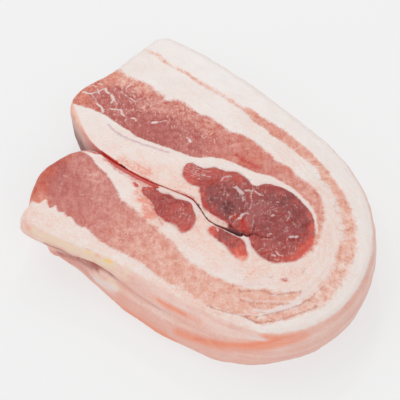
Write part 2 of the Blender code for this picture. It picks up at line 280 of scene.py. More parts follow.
# How pink and warm the fat is: 0 for white, 1 for salmon pink
FAT_WARMTHS = (
    (-60, 60, 10, 0.04), (-60, 44, 10, 0.20), (-30, 56, 12, 0.06), (-30, 41, 10, 0.24),
    (0, 51, 10, 0.12), (0, 37, 8, 0.30), (25, 45, 8, 0.14), (22, 31, 7, 0.38), (45, 33, 8, 0.16),
    (44, 23, 6, 0.40), (62, 22, 8, 0.16), (54, 12, 6, 0.40), (72, 2, 6, 0.22), (58, 0, 5, 0.42),
    (75, -18, 5, 0.24), (60, -12, 6, 0.42), (70, -36, 6, 0.20), (58, -47, 6, 0.18),
    (-66, 3, 4, 0.22), (-55, 4, 7, 0.24), (-45, 0, 7, 0.30), (-30, 2, 8, 0.34), (-15, 5, 6, 0.34),
    (0, 13, 6, 0.26), (15, 14, 6, 0.28), (28, 16, 5, 0.30), (-40, -5, 4, 0.40), (-32, -7.4, 3, 0.80),
    (-26, -7.2, 3, 0.86), (-21, -7.6, 3, 0.80), (-16, -7.8, 3, 0.58), (-13, -3, 5, 0.52), (-5, -7, 4, 0.60), (3, -7, 3, 0.50),
    (-43, -11, 4, 0.36), (-32, -14, 5, 0.30), (-22, -20, 5, 0.30), (-14, -24.5, 4, 0.42),
    (-17.6, -18.4, 2.5, 0.90),
    (-13.4, -20.9, 2.5, 1.10), (-9.8, -22.9, 2.5, 1.00), (-6.4, -24.8, 2.5, 1.10), (-20, -14.5, 3, 0.65),
    (-2, -26, 3, 0.62), (13, -18, 5, 0.56), (12, -26, 6, 0.52), (5, -29, 4, 0.36),
    (25, -27, 6, 0.52), (40, -25, 6, 0.56), (52, -20, 6, 0.50), (55, -10, 5, 0.44),
    (20, -33, 5, 0.30), (35, -33, 5, 0.34), (48, -29, 5, 0.40), (60, -28, 5, 0.40),
    (-46, -49, 4, 0.50), (-38, -48, 6, 0.42), (-25, -48, 6, 0.40), (-10, -49, 6, 0.40),
    (5, -49, 6, 0.34), (20, -51, 6, 0.56), (36, -52, 6, 0.60), (50, -51, 6, 0.44),
)

# How softly the layers' borders run into each other, from crisp to a few millimetres wide
SOFTNESSES = (
    (-66, 34, 6, 1.00), (-50, 33, 6, 0.70), (-38, 31, 4, 0.90), (-25, 32, 6, 0.55), (-5, 30, 6, 0.50),
    (12, 28, 6, 0.55), (28, 25, 6, 0.50), (45, 17, 6, 0.55), (54, -2, 5, 0.60),
    (-60, 9, 6, 0.30), (-40, 7, 8, 0.15), (-15, 9, 8, 0.25), (0, 15, 6, 0.25), (20, 18, 6, 0.20),
    (40, 14, 5, 0.25), (-50, 51, 8, 0.65), (-20, 46, 6, 0.90), (5, 42, 6, 0.45), (30, 35, 8, 0.50),
    (60, 10, 8, 0.80), (68, -15, 8, 0.90), (58, -40, 6, 0.60),
    (-45, -43, 4, 0.20), (-25, -44, 6, 0.35), (-5, -46, 6, 0.60), (20, -48, 8, 0.60), (45, -46, 6, 0.30),
    (-45, -13, 4, 0.30), (-30, -18, 5, 0.30), (-10, -27, 5, 0.60), (10, -32, 6, 0.70),
    (35, -36, 8, 0.60), (58, -28, 5, 0.80),
    (-8, 3, 3, 0.55), (0, 8, 3, 0.40), (12, 11, 4, 0.60), (19, 10, 3, 0.25), (30, 14, 5, 0.10),
    (48, 7, 4, 0.20), (54, -5, 3, 1.10), (50, -17, 4, 0.50), (40, -20, 4, 0.50), (33, -16, 3, 0.30),
    (8, -11, 4, 0.10), (-2, -4, 3, 0.40), (-12, -13, 4, 0.20), (-8, -21, 4, 0.15), (8, -26, 3, 0.70),
    (10, -20, 3, 0.50), (17, -19, 2, 0.50), (25, -17, 3, 0.20), (26, -23, 3, 0.45), (35, -24, 3, 0.80),
)

# How thickly pale specks of fat are strewn through the lean
SPECKS = (
    (-66, 24, 5, 0.70), (-62, 12, 4, 0.70), (-55, 29, 5, 0.85), (-50, 20, 6, 0.80), (-42, 28, 5, 0.90),
    (-42, 12, 5, 0.50), (-32, 12, 6, 0.30), (-30, 26, 6, 0.80), (-16, 27, 6, 0.75), (-16, 13, 5, 0.45),
    (-4, 25, 6, 0.55), (4, 19, 5, 0.35), (14, 24, 6, 0.35), (30, 21, 6, 0.45), (44, 14, 6, 0.50),
    (0, 42, 12, 0.30), (35, 32, 10, 0.30), (62, 6, 10, 0.40), (68, -18, 8, 0.45), (60, -39, 6, 0.35),
    (-48, -28, 6, 0.20), (-38, -22, 5, 0.45), (-36, -36, 7, 0.20), (-20, -34, 7, 0.35),
    (-4, -38, 7, 0.50), (14, -41, 8, 0.40), (34, -42, 8, 0.32), (52, -36, 6, 0.30),
)

# Strokes on the cut face: half the width, the strength, the points along it.
# Pale seams, films and flecks of fat in the lean and the muscles, and some painted glints on the wet big muscle
SEAMS_AND_GLINTS = (
    (0.50, 1.0, ((-62.8, 22.3), (-61.5, 21.2), (-60, 20.5))),
    (0.20, 0.8, ((-60, 20.5), (-58.3, 20.6))),
    (0.50, 1.0, ((-58.3, 20.6), (-57, 19.6), (-56, 18.2), (-55.4, 16.4))),
    (0.70, 0.8, ((-69.5, 15.2), (-67.5, 15.6), (-65.8, 16.3))),
    (0.35, 0.9, ((-65.8, 16.3), (-65, 18), (-64, 19.6), (-62.8, 22.3))),
    (0.30, 0.8, ((-65.5, 16), (-63, 15), (-61.5, 14), (-60, 12.7))),
    (0.50, 1.0, ((-60, 12.7), (-58.3, 12.2), (-57, 12), (-56, 11), (-55, 10))),
    (0.40, 1.0, ((-53.6, 13.4), (-52, 14), (-50.6, 14.5), (-49.6, 15.2), (-48.4, 14.2), (-47, 13.3))),
    (0.35, 0.9, ((-47, 13.3), (-45, 12.8), (-44.4, 11))),
    (0.20, 0.7, ((-50.8, 17.6), (-49.8, 15.2))),
    (0.45, 0.8, ((-43, 13.8), (-41.6, 14.2), (-40.4, 13.2))),
    (0.50, 0.7, ((-67, 23), (-65.2, 23.6))),
    (0.40, 0.8, ((-55.6, 27), (-55.2, 31))),
    (0.35, 0.7, ((-53.4, 28.6), (-51, 29.8))),
    (0.45, 0.6, ((-46.6, 25.2), (-45.8, 26))),
    (0.25, 0.7, ((-71.5, 20.6), (-69.5, 22))),
    (0.26, 0.9, ((-56.2, 24.1), (-51.5, 23.2), (-46.8, 22.9))),
    (0.24, 0.8, ((-52.1, 25.1), (-47.6, 24.4), (-43.1, 24.3))),
    (0.35, 0.9, ((-65.6, 20.1), (-62.8, 18.2))),
    (0.35, 0.9, ((-57.3, 20.4), (-55, 18.4), (-52.7, 16.8))),
    (0.30, 0.9, ((-70, 20.2), (-66.3, 21.1))),
    (0.30, 0.8, ((-58.5, 27.7), (-56.8, 26), (-55.5, 24.6))),
    (0.24, 0.8, ((-61, 24.8), (-58, 22.8), (-55, 22))),
    (0.65, 1.0, ((-34.2, 16.3), (-33, 17.2))),
    (0.25, 0.9, ((-33, 17.2), (-31.6, 18.9), (-30, 20.4))),
    (0.45, 0.9, ((-17.8, 16.8), (-16.4, 16.5))),
    (0.60, 1.0, ((-16, 16.3), (-15, 15.6))),
    (0.35, 0.8, ((-13.4, 21), (-12.4, 22))),
    (0.20, 0.7, ((-9.4, 26.2), (-7, 27.6))),
    (0.22, 0.7, ((-20.2, 27), (-19, 24.6))),
    (0.30, 0.8, ((5.3, 24.2), (6.6, 25.6))),
    (0.35, 0.8, ((24.3, 20), (24.9, 20.1))),
    (0.30, 0.7, ((29.8, 22.3), (30.3, 22.6))),
    (0.35, 0.8, ((41.3, 18), (41.8, 18.2))),
    (0.30, 0.8, ((43, 14.6), (43.3, 14.9))),
    (0.30, 0.8, ((36.8, 17), (37.3, 17.2))),
    # Pale lines across the outer stripe
    (0.35, 0.8, ((22.3, 33.5), (23.2, 38.5), (23.4, 41.5))),
    (0.25, 0.8, ((29, 32.5), (30, 35))),
    (0.30, 0.9, ((32.5, 30.1), (34.4, 31.6), (36.6, 33.4))),
    (0.25, 0.8, ((30, 32.6), (32.4, 35.6))),
    (0.28, 0.9, ((42.4, 24), (43.8, 25.5), (45.2, 27.1))),
    (0.20, 0.7, ((4.5, 40.5), (6.5, 44))),
    (0.25, 0.8, ((48.4, 21.3), (49.9, 21.9), (51.5, 23.7))),
    (0.25, 0.8, ((50.4, 17.8), (53.6, 15.4))),
    (0.22, 0.7, ((54.8, 13), (57.2, 15.2))),
    (0.40, 0.9, ((60.4, 3), (62.4, 4.9), (63.9, 6.8))),
    (0.22, 0.8, ((57.8, 9), (60.4, 9.6))),
    (0.22, 0.7, ((63.8, -2.2), (66.6, 2.2))),
    (0.22, 0.8, ((64.8, -14.6), (67.6, -12.4))),
    (0.25, 0.7, ((63.3, -35.6), (65.5, -29.5), (67, -27), (68.2, -22.5))),
    # Pale lines where the lower lean meets the stripe
    (0.70, 1.0, ((51.5, -42.4), (55.9, -40.1), (59.5, -36), (61.9, -31.4), (62.4, -27.4), (62.6, -24))),
    (0.30, 0.9, ((49.8, -38.8), (50.6, -40.4), (52.4, -42.2))),
    (0.30, 0.9, ((43.8, -40.3), (46.7, -39.7), (49.8, -38.5), (53.5, -36.1), (57, -34.1), (61.2, -31))),
    (0.30, 0.9, ((47.5, -47.6), (50.4, -45.4), (54, -43.6))),
    (0.25, 0.8, ((40.6, -43.4), (43, -41), (46.4, -42.6), (47.4, -45))),
    (0.25, 0.8, ((50.6, -34.4), (54.4, -32.4), (58.6, -29.6))),
    (0.25, 0.8, ((56.4, -43.4), (58.6, -43.2))),
    (0.25, 0.8, ((60, -38.4), (61.4, -40))),
    (0.25, 0.8, ((63.6, -33.6), (65.6, -34))),
    # Flecks in the lower lean
    (0.35, 0.8, ((-46.4, -27.8), (-45.6, -27.2))),
    (0.25, 0.7, ((-50.4, -27), (-50.2, -26.6))),
    (0.25, 0.8, ((-44.6, -31), (-43.2, -34), (-41.8, -36.8))),
    (0.45, 0.6, ((-38.6, -22), (-36.4, -20.6))),
    (0.35, 0.7, ((-34.6, -32.2), (-33.6, -31.6))),
    (0.45, 0.7, ((-29.8, -31.6), (-29.2, -30.6))),
    (0.30, 0.6, ((-41, -17.4), (-39.4, -18.6))),
    (0.25, 0.9, ((-44.2, -41.8), (-43, -44))),
    (0.30, 0.9, ((-38.6, -42.2), (-37.4, -43.6))),
    # The strip of fat beside the slit, and the lip of fat round the big muscle's foot
    (0.75, 1.0, ((-10.8, -13.4), (-8.5, -12.4), (-6, -11.7), (-3, -12), (0, -11.4), (3, -11))),
    (0.80, 1.0, ((3, -11), (5.4, -12.2), (7.4, -14.2), (9, -15.6))),
    (0.30, 0.8, ((5, -8.4), (8, -10.8), (12, -12.4), (16, -13.2), (20, -13.4))),
    # The white lining round the top of the big muscle
    (0.45, 0.9, ((20.6, 10.6), (22, 13.4), (25, 15.4), (30, 15.9), (35, 15.2), (40, 13), (44.5, 10.6))),
    (0.35, 0.9, ((44.5, 10.6), (47.5, 8.2), (50.3, 4.6), (52, 1.6))),
    # White sinew fanning out in the middle of the big muscle
    (0.80, 0.9, ((14, 4.6), (15.6, 3.8), (17.4, 3.2))),
    (0.40, 0.9, ((17.4, 3.2), (18.6, 1.8), (20, 0))),
    (0.50, 0.9, ((18, 5), (19.4, 6), (20.6, 5))),
    (0.35, 0.9, ((19.4, 6), (21.4, 6.8), (23.6, 6.4), (25, 6.8))),
    (0.25, 0.9, ((20.6, 5), (21.6, 3), (23.4, 0.6), (24.6, -2))),
    (0.22, 0.8, ((21.5, 0.5), (23, -1.6), (25, -4.4))),
    (0.18, 0.8, ((19, 3.4), (20.4, 1.2), (21.4, -0.6))),
    (0.20, 0.8, ((24, 8.8), (23.6, 6.8))),
    (0.70, 0.6, ((7.6, 3.6), (7.2, 6), (8.6, 8))),
    (0.20, 0.8, ((8, 7), (9.6, 5.4), (11.4, 3))),
    (0.18, 0.8, ((8.6, 2.2), (9.6, -1.2))),
    (0.20, 0.8, ((9.4, 8.4), (11.6, 6), (13, 3.4))),
    (0.20, 0.8, ((12, 0.8), (13, -0.6), (14.6, -3.6))),
    (0.18, 0.8, ((10.4, 1.6), (12, -1))),
    (0.18, 0.7, ((15.6, 0.4), (17.2, -2.6))),
    (0.18, 0.7, ((18.2, -1), (19.8, -4))),
    (0.20, 0.8, ((12.4, 11), (14.2, 8.4), (16, 5.6))),
    (0.18, 0.7, ((14.6, 10.6), (16.6, 7.4))),
    (0.18, 0.7, ((26.4, 3), (27.6, 0.8), (28.4, -1.6))),
    # The tongue's strands
    (0.26, 0.84, ((-8.6, 5), (-6, 5.2), (-3.6, 4.2), (-1, 4.4), (1.6, 5.6))),
    (0.26, 0.82, ((-8.8, 2.6), (-6, 3.2), (-3.2, 2), (0, 2.4), (3, 3.4))),
    (0.26, 0.82, ((-8, 0.4), (-5.4, 0.8), (-2.6, -0.2), (0.4, 0.2))),
    (0.24, 0.80, ((-9, 3.8), (-6.4, 4.3), (-3.4, 3), (0.4, 3.4))),
    (0.24, 0.80, ((-8.6, 1.4), (-5.8, 1.9), (-3, 1), (1, 1.4))),
    (0.18, 0.7, ((-6.4, -1.4), (-3.8, -1.2), (-1.4, -2.2))),
    (0.18, 0.7, ((-0.6, 6.6), (1.6, 7.6), (4.2, 7.4), (5.6, 6.2))),
    (0.18, 0.6, ((-2.6, -3.2), (-1, -3.4))),
    # Curled white edges over the hollow
    (0.25, 0.9, ((20.6, -8.8), (20.3, -10), (21, -11.4), (22.2, -12.6))),
    (0.55, 1.0, ((23.8, -9), (24, -7.6), (24.2, -6.4))),
    (0.30, 0.9, ((24.2, -6.4), (24.6, -5.4), (25.8, -5))),
    (0.22, 0.9, ((23.6, -12.6), (23.4, -10.8), (23.8, -9))),
    (0.22, 0.8, ((28.6, -6), (30, -9), (30.6, -12))),
    # Flecks and streaks over the right half of the big muscle: pale tissue, and painted glints of its wet surface
    (0.30, 0.9, ((37.6, 5), (38.6, 3.4), (39.4, 0.4))),
    (0.50, 1.0, ((44.6, -5.8), (46, -4.6), (46.8, -4))),
    (0.30, 0.8, ((30.6, 3), (31.2, 4.4))),
    (0.20, 0.8, ((32, 3.2), (34, 5.4), (35.4, 7.8))),
    (0.45, 0.9, ((33.2, -0.2), (33.8, 0.2))),
    (0.25, 0.6, ((31, -2), (31.3, -1.8))),
    (0.30, 0.7, ((25.4, 1.6), (25.8, 2.2))),
    (0.28, 0.8, ((29, 5.4), (29.3, 5.7))),
    (0.35, 0.8, ((31.2, 6.8), (32, 7.2))),
    (0.25, 0.7, ((31, 12), (31.3, 12.2))),
    (0.25, 0.6, ((36.5, 5), (36.7, 5.3))),
    (0.28, 0.7, ((39, 8.4), (39.3, 8.6))),
    (0.30, 0.7, ((46, 6.4), (46.4, 6.6))),
    (0.50, 0.8, ((37.2, -8.6), (37.8, -8.4))),
    (0.20, 0.8, ((36.5, -11.6), (39, -10.8), (41, -8.4))),
    (0.45, 0.6, ((41.4, -3.2), (42.4, -3.6))),
    (0.35, 0.6, ((36, -12.6), (37, -12.2))),
    (0.22, 0.8, ((39.6, -17.4), (40.6, -15.8), (42, -14.8))),
    (0.28, 0.9, ((43.6, -14.4), (45.4, -15.8), (46.8, -15.2))),
    (0.40, 0.9, ((43.6, -17.2), (44.6, -16.8))),
    (0.35, 0.8, ((45.6, -18.2), (46.6, -18))),
    (0.22, 0.7, ((41, -13.5), (43, -12.5))),
    # The small muscle's flecks, and the white streaks beside the third muscle
    (0.25, 0.7, ((-7.6, -15.2), (-5.4, -15.6))),
    (0.35, 0.7, ((1.8, -16.6), (2.6, -17.4))),
    (0.20, 0.8, ((3, -18.6), (4.6, -21.4))),
    (0.20, 0.8, ((7, -18), (8.6, -20.8))),
    (0.25, 0.5, ((-5.4, -17.6), (-4.4, -19.2))),
    (0.40, 0.9, ((-17.3, -16.8), (-16.6, -16.2))),
    (0.40, 0.9, ((22.5, -16.3), (25, -15.9), (28.5, -15.6), (30, -16))),
    (0.40, 0.9, ((19, -17.6), (20.2, -18.2))),
    (0.60, 0.9, ((31, -15), (32.4, -17), (34.4, -19.4), (37, -21.4))),
    (0.30, 0.9, ((32.6, -15.8), (35, -18.4), (38.6, -20))),
    # Torn white lines in the fat below the small muscle
    (0.60, 0.9, ((40, -35.4), (42.4, -34.4), (44.4, -33.8))),
    (0.30, 0.8, ((41, -33.4), (44, -31.6), (47.4, -29.6))),
    (0.35, 0.8, ((-2, -28.4), (2.5, -27.6), (6.5, -26.6))),
    (0.30, 0.8, ((4, -30.4), (6.5, -30.4), (8.8, -31))),
    (0.60, 0.8, ((-1, -47.8), (4, -48.4), (9, -48.6), (11.5, -49.4))),
)

# Bright red streaks and stains
REDS = (
    (1.20, 0.78, ((4.4, 19.9), (8, 19), (12, 18.8), (14.6, 18.6))),
    (1.30, 0.52, ((14, 18.6), (17.4, 18.4), (20.5, 17.9))),
    (2.40, 0.40, ((7, 19.6), (12, 18.9), (18, 18.4))),
    (0.60, 0.7, ((-15.4, 19), (-14, 19.4))),
    (0.80, 0.4, ((-20, 20.6), (-15.6, 20), (-12, 20.2))),
    (0.40, 0.5, ((-35, 15.6), (-34.4, 13.4))),
    (0.50, 1.7, ((-47, -8.2), (-45, -9), (-40, -9.8), (-36, -10.8), (-31, -11.8), (-25, -12.4), (-18, -12.5), (-12, -12.4))),
    (0.50, 3.0, ((-42, -9.2), (-36, -10.2), (-31, -11.1), (-25, -11.8), (-18, -12), (-13, -11.8))),
    (0.90, 1.5, ((-36, -10.8), (-30, -12), (-24, -12.4), (-19, -12.4))),
    (0.40, 1.2, ((-52, -13.4), (-49, -12.4), (-46, -11.4), (-43, -10.6), (-41, -10.2))),
    (1.60, 0.55, ((-38, -11.2), (-31, -13), (-24, -13.6), (-16, -13.6))),
    (0.45, 0.8, ((-5, -9.6), (-2, -9), (1, -8.8), (3, -9.2))),
    (0.90, 1.0, ((-20.8, -15.4), (-19, -16.2))),
    (0.60, 0.6, ((-16.6, -15), (-14, -13.2), (-11.6, -12.4))),
    (0.70, 0.7, ((-15.6, -17), (-14, -18))),
    (0.70, 0.55, ((-9, -24), (-7, -25), (-5.4, -25.2))),
    (0.40, 0.9, ((-8.4, -20.6), (-6.4, -22.2), (-4.4, -23.4), (-1.6, -24.2), (2, -24.6))),
    (0.40, 0.9, ((-2.4, -25), (-1.4, -26.2), (1, -27.4))),
    (0.25, 0.7, ((12.4, -28.1), (15, -27.9))),
    (1.00, 1.0, ((25.4, -9), (27, -10.6), (28.6, -12))),
    (0.70, 0.9, ((20.6, -8.4), (22, -10), (22.6, -7.6))),
    (0.60, 0.8, ((2.4, -4), (4.6, -6.4), (7, -9.2), (9, -11.4))),
    (1.30, 0.68, ((8, -9.6), (12, -11.4), (16, -12.4), (20, -12.8), (22, -13))),
    (0.28, 0.9, ((7, -8.4), (11, -10.2), (15, -11.2), (19, -11.8), (22, -12.6))),
    (0.24, 0.8, ((9, -11.8), (13, -13.4), (17, -14.2), (21, -14.2))),
    (0.50, 0.8, ((10.6, -12), (14, -12.2), (17, -12), (19.4, -12.4))),
    (0.50, 0.6, ((-7, -1), (-4.6, -2.6), (-1.4, -3.2))),
    (0.80, 0.5, ((2, 8.8), (4.4, 8.6), (6.4, 8.4), (9.4, 11), (14, 10.2))),
    (0.40, 0.7, ((20.6, 3.6), (21.2, 1.4))),
    (0.90, 0.6, ((31.4, -7.4), (32.6, -9.8), (35, -11.4), (38.4, -10.4))),
    (0.60, 0.6, ((17.4, -18.8), (20, -18.4))),
    (0.50, 0.6, ((26.4, -17.2), (30, -17.6), (32, -18.6))),
    (0.25, 0.7, ((38.4, -32.6), (41.5, -31.2))),
    (0.18, 0.7, ((42.5, -33), (46.5, -30.6))),
    (0.15, 0.7, ((35.5, -31), (46, -27.6))),
    (0.15, 0.6, ((28, -29.4), (36, -28.6), (42, -26.6))),
    (0.15, 0.6, ((16, -30.6), (22, -31.4), (28, -31.8))),
    (0.34, 0.9, ((48.5, -26.4), (48.9, -26.2))),
    (0.50, 1.0, ((53.2, -25), (54.2, -24.4))),
    (0.24, 0.9, ((51.6, -25.4), (52.6, -24.8))),
    (0.34, 1.0, ((56.8, -17.5), (57.2, -17.3))),
    (0.40, 0.4, ((53.2, -21.2), (54.2, -20.6))),
    (0.22, 0.8, ((39.4, -33.7), (42, -32))),
    (0.20, 0.8, ((43.1, -34.1), (45.6, -32.4), (48.1, -31.1))),
    (0.30, 0.9, ((53.3, -20), (53.7, -20))),
    (0.25, 0.8, ((58, -2.2), (58, -1.4))),
    (0.22, 0.7, ((61, -4.6), (61, -4.2))),
    (0.40, 0.8, ((56.5, -16.8), (56.9, -15.6))),
    (0.22, 0.7, ((57, -12), (57.1, -11))),
    (0.30, 0.8, ((48.3, -25.6), (48.7, -25.4))),
    (0.50, 0.9, ((52.6, -24.4), (53.8, -23.8))),
    (0.25, 0.7, ((54, -21.4), (55, -21))),
    (0.40, 0.7, ((48.6, -32.3), (49.6, -31.8))),
    (0.60, 0.6, ((-54.4, -17), (-54, -19.4), (-54, -22))),
)

# Cracks and grooves, dug into the cut face and painted dark red as their shade
SHADED_CRACKS = (
    (0.45, 0.9, ((-31.4, -10.4), (-28.6, -10.8))),
    (0.35, 0.8, ((-14, -11.2), (-11, -10.8))),
    (0.25, 0.7, ((-10, -10.6), (-4, -10.2), (0, -9.8), (4, -9.8), (6.4, -10.8))),
    (0.35, 0.9, ((6.4, -10.8), (8.4, -12.4), (10.4, -13.8), (13, -15.2), (17, -16.2), (21, -16))),
    (0.50, 0.9, ((28.4, -14.2), (30.8, -13.6))),
    (0.28, 1.0, ((22.6, -13.8), (21.3, -12.2), (20.4, -10.6))),
    (0.35, 0.9, ((30.6, -13.6), (31.6, -12.2), (33, -11.4), (36, -11), (38.6, -9.8))),
    (0.55, 0.5, ((30.4, -8), (31.4, -10.4), (31.8, -12))),
    (0.25, 0.7, ((-3, -24.6), (-2.2, -25.6), (-1, -26.6))),
    (0.35, 0.7, ((-9.4, -20.2), (-7.5, -21.7), (-4.6, -23.4), (-3, -24.4))),
    (0.25, 0.5, ((-3, -24.4), (0, -24.8), (2.4, -24.8))),
    (0.70, 0.6, ((15.6, -5.6), (17.4, -7.2))),
    (0.40, 0.7, ((0.8, -3), (2, -1.2), (4.4, -0.2), (5.4, 1.8), (5.8, 4))),
    (0.25, 0.5, ((5.8, 4), (6.6, 6), (6.6, 7.4))),
    (0.25, 0.6, ((-8, -14.2), (-5.4, -13.2), (-2.8, -13.6), (0, -12.8))),
    (0.20, 0.5, ((-7, 3.9), (-4, 3.2), (-1, 3.6), (2, 4.6))),
    (0.20, 0.5, ((-7.4, 1.6), (-4, 1.4), (0, 1.2), (3, 2.2))),
    (0.20, 0.4, ((-5, -0.6), (-2, -1), (1, -0.8))),
    (0.22, 0.5, ((39.4, -15.8), (42, -16.6), (45, -16.4))),
    (0.22, 0.5, ((34, -13.4), (37, -14.4), (39, -14))),
    (0.30, 0.4, ((29.6, 8), (31, 10), (32.6, 11.6))),
    (0.30, 0.4, ((40.6, 6), (42, 3), (42.4, 0))),
    (0.30, 0.5, ((10.6, 0), (12, -3), (13.6, -6.6))),
)

# Thin brown lines where the lean falls into blocks
THREADS = (
    (0.26, 1.0, ((36.2, -50.1), (42.1, -49.3), (46.6, -47.7), (49.2, -47.3), (51.3, -46.2))),
    (0.42, 1.0, ((51.5, -46.8), (53.4, -46.9), (55.3, -46.7))),
    (0.26, 1.0, ((55.3, -46.7), (59.2, -43.2), (62.5, -39.4), (65.2, -35.5), (67.1, -32.4), (69.3, -28.3))),
    (0.28, 1.0, ((53.6, -44.6), (55.5, -42.5), (59.3, -37.9), (62.4, -33.8), (64.2, -30.5), (65.6, -26.6))),
    (0.24, 0.9, ((65.6, -26.6), (66.2, -21.3), (67, -18.6))),
    (0.28, 1.0, ((42.3, -38), (45.4, -36), (49.6, -32.9), (52.6, -33), (55.3, -31.3), (58.3, -28.4), (61.4, -25.8))),
    (0.50, 0.8, ((48.8, -33.4), (50, -33))),
    (0.24, 0.9, ((44.4, -41.2), (47.4, -40.8), (50.2, -39.6), (54, -37.2), (57.4, -35.2), (61, -32.6))),
    (0.24, 0.9, ((49.2, -38.8), (50.6, -41), (53.2, -41.6), (55.8, -40.9), (59, -37.2))),
    (0.20, 0.8, ((46.7, -39.7), (49, -41.2))),
    (0.20, 0.7, ((38.6, -42), (41, -39.6), (43.4, -40.6))),
    (0.20, 0.7, ((30, -41), (34, -42.6), (36, -45.6))),
    (0.18, 0.7, ((33, -38.6), (37, -38.2), (40, -36.8))),
    (0.20, 0.7, ((62.4, -29.6), (64.6, -28.4), (67.6, -27.6))),
    (0.20, 0.7, ((57.6, -42.6), (60, -42.2))),
    (0.20, 0.7, ((66.6, -8.9), (65.8, -6.6), (64, -1.9), (62.2, 2.1))),
    (0.20, 0.7, ((64.9, 0.4), (66.7, -1.3), (68.2, -4.9), (69.2, -8.9))),
    (0.22, 0.8, ((65.6, -10.1), (67.6, -9.9), (69.7, -11.3), (71, -14.4))),
    (0.20, 0.7, ((66.2, -14.8), (69.1, -15.6), (71.6, -18.4))),
    (0.20, 0.7, ((64.6, -23.1), (66.7, -21.7), (68.4, -19.5))),
    (0.20, 0.7, ((56.5, 10.9), (58.4, 12.1), (59.4, 15))),
    (0.20, 0.7, ((57.6, 8), (60.3, 8.6), (61.8, 11.4))),
    (0.18, 0.7, ((49.4, 20.3), (51.4, 16.7), (53.6, 15.1))),
    (0.22, 0.8, ((42.2, 24.6), (43.6, 26.2), (45, 27.8))),
    (0.20, 0.7, ((36.6, 28.6), (38.4, 30.4), (40.4, 32.2))),
    (0.20, 0.7, ((39.4, 26.8), (41.4, 28.8))),
    (0.20, 0.7, ((31, 32), (33, 34.8))),
)

# A faint mauve vein in the inner fat
VEINS = (
    (0.50, 1.0, ((-49, 5.5), (-46, 4.2), (-40, 3.1), (-34, 3.4), (-27, 4.4), (-19, 5.7))),
    (0.20, 0.7, ((-44, 2.6), (-38, 1.8), (-30, 2.4))),
    (0.30, 0.6, ((-16, -1), (-12.6, -2.8))),
    (0.25, 0.6, ((-4, 8.4), (-1.4, 9.4))),
)

# Strokes on the rind, as (distance along the belly, height), counted from RIND_START before the
# thick end.
RIND_START = 2.4
# Orange streaks
RIND_ORANGES = (
    (1.4, 0.9, ((180, 10), (177, 11.4), (174, 12.6), (170, 14), (166.4, 15.9), (163.4, 18.4), (160.3, 20.4))),
    (1.3, 0.8, ((163, 21.2), (160.3, 21), (157, 20.9))),
    (2.8, 0.6, ((184, 9), (177, 11), (170, 13.5), (163, 17), (156, 20))),
    (3.0, 0.36, ((156, 20), (150, 21.4), (145, 21.4), (141, 21.2), (137, 20.2))),
    (1.0, 0.9, ((192, 18.2), (190, 18), (187.6, 18.2), (184, 18.3))),
    (2.0, 0.4, ((194, 18), (187, 18), (180, 18.3))),
    (1.1, 0.9, ((219, 3.8), (213, 4), (209, 3.4), (202, 3), (194, 3.4), (186, 2.6))),
    (2.6, 0.4, ((215, 5), (202, 5), (190, 4))),
    (0.3, 0.6, ((219.6, 12), (214, 10.6), (209, 9.8), (203, 9.6))),
    (0.7, 0.9, ((250.8, 22.7), (249.6, 22.9))),
    (0.9, 0.6, ((248.6, 21.2), (247.4, 21))),
    (0.8, 0.6, ((216, 22.2), (215, 22.2))),
)
# Whitish streaks: painted highlights high on the rind, and a cream patch on its lower roll
RIND_PALES_AND_HIGHLIGHTS = (
    (0.7, 1.0, ((166.8, 19.6), (165, 19.8), (163.8, 19.9))),
    (0.3, 0.8, ((216, 18.8), (211, 17.8), (208, 17))),
    (1.6, 0.4, ((200, 20.6), (190, 20.8), (180, 21))),
    (2.2, 0.80, ((217, 9.4), (212, 10.4), (208, 11.6))),
)
# Yellow and cream streaks
RIND_YELLOWS = (
    (2.4, 0.34, ((246, 20.8), (240, 21), (236, 21.2))),
    (2.4, 0.62, ((236, 21.2), (231, 21.4), (227, 21.6))),
    (2.4, 0.36, ((227, 21.6), (220, 21.4), (204, 20.6))),
    (2.0, 0.72, ((220, 20.8), (215, 20.6), (209, 20.6))),
    (0.7, 2.2, ((212, 21.8), (210.4, 21.8))),
    (0.6, 1.4, ((220.6, 21.6), (218, 21.5))),
    (0.5, 1.5, ((216, 20.4), (214.4, 20.6))),
    (2.6, 0.30, ((215, 11), (211, 11.4), (208, 12))),
    (0.6, 1.3, ((208.4, 14), (207, 13.8))),
)
# Red stains; the wide stroke low on the thin end's rind is partly its redder lower roll and partly painted shade
# below the crease
RIND_REDS = (
    (0.7, 1.0, ((179, 11.1), (178.2, 11.2))),
    (2.6, 0.35, ((182, 12.4), (178, 13), (174, 13.6))),
    (3.0, 0.56, ((246, 4), (238, 5.4), (231, 6.4), (225, 8), (219, 8))),
    (3.0, 0.22, ((168, 6), (150, 8), (134, 10))),
)
# Painted shade in the crease, and thin dark lines: all but the last of these are painted shade along the crease, the
# last runs along the rind's top edge
RIND_SHADOWS = (
    (2.4, 0.70, ((241, 6.6), (235, 8.4), (229, 10.4), (223, 13), (218, 15))),
    (1.3, 0.9, ((238, 17.4), (231, 17.8), (226.6, 17), (223, 15.8), (219, 15.6), (215, 15.8))),
    (0.5, 0.8, ((215, 16.2), (211, 16.6), (208.4, 16.6))),
)
RIND_LINES = (
    (0.45, 1.0, ((228, 12.6), (224, 14.4), (220.6, 16.2), (216, 16.7))),
    (0.35, 0.9, ((216, 16.7), (212, 16.5), (209.5, 16), (206.2, 15))),
    (0.30, 0.8, ((206.2, 15), (202.2, 14.4), (199, 13.8), (194.6, 14), (190, 14.2))),
    (0.25, 0.65, ((190, 14.2), (185, 14.7), (180.7, 14.6))),
    (0.30, 0.50, ((250.2, 22.4), (246, 22.3), (241, 22.2), (236, 22.1), (231, 22.1), (225, 22.4), (218, 22.5))),
)


def smooth_step(value):
    share = np.clip(value, 0.0, 1.0)
    return share * share * (3.0 - 2.0 * share)


# ---------------------------------------------------------------------------------------------
# The fold
# ---------------------------------------------------------------------------------------------


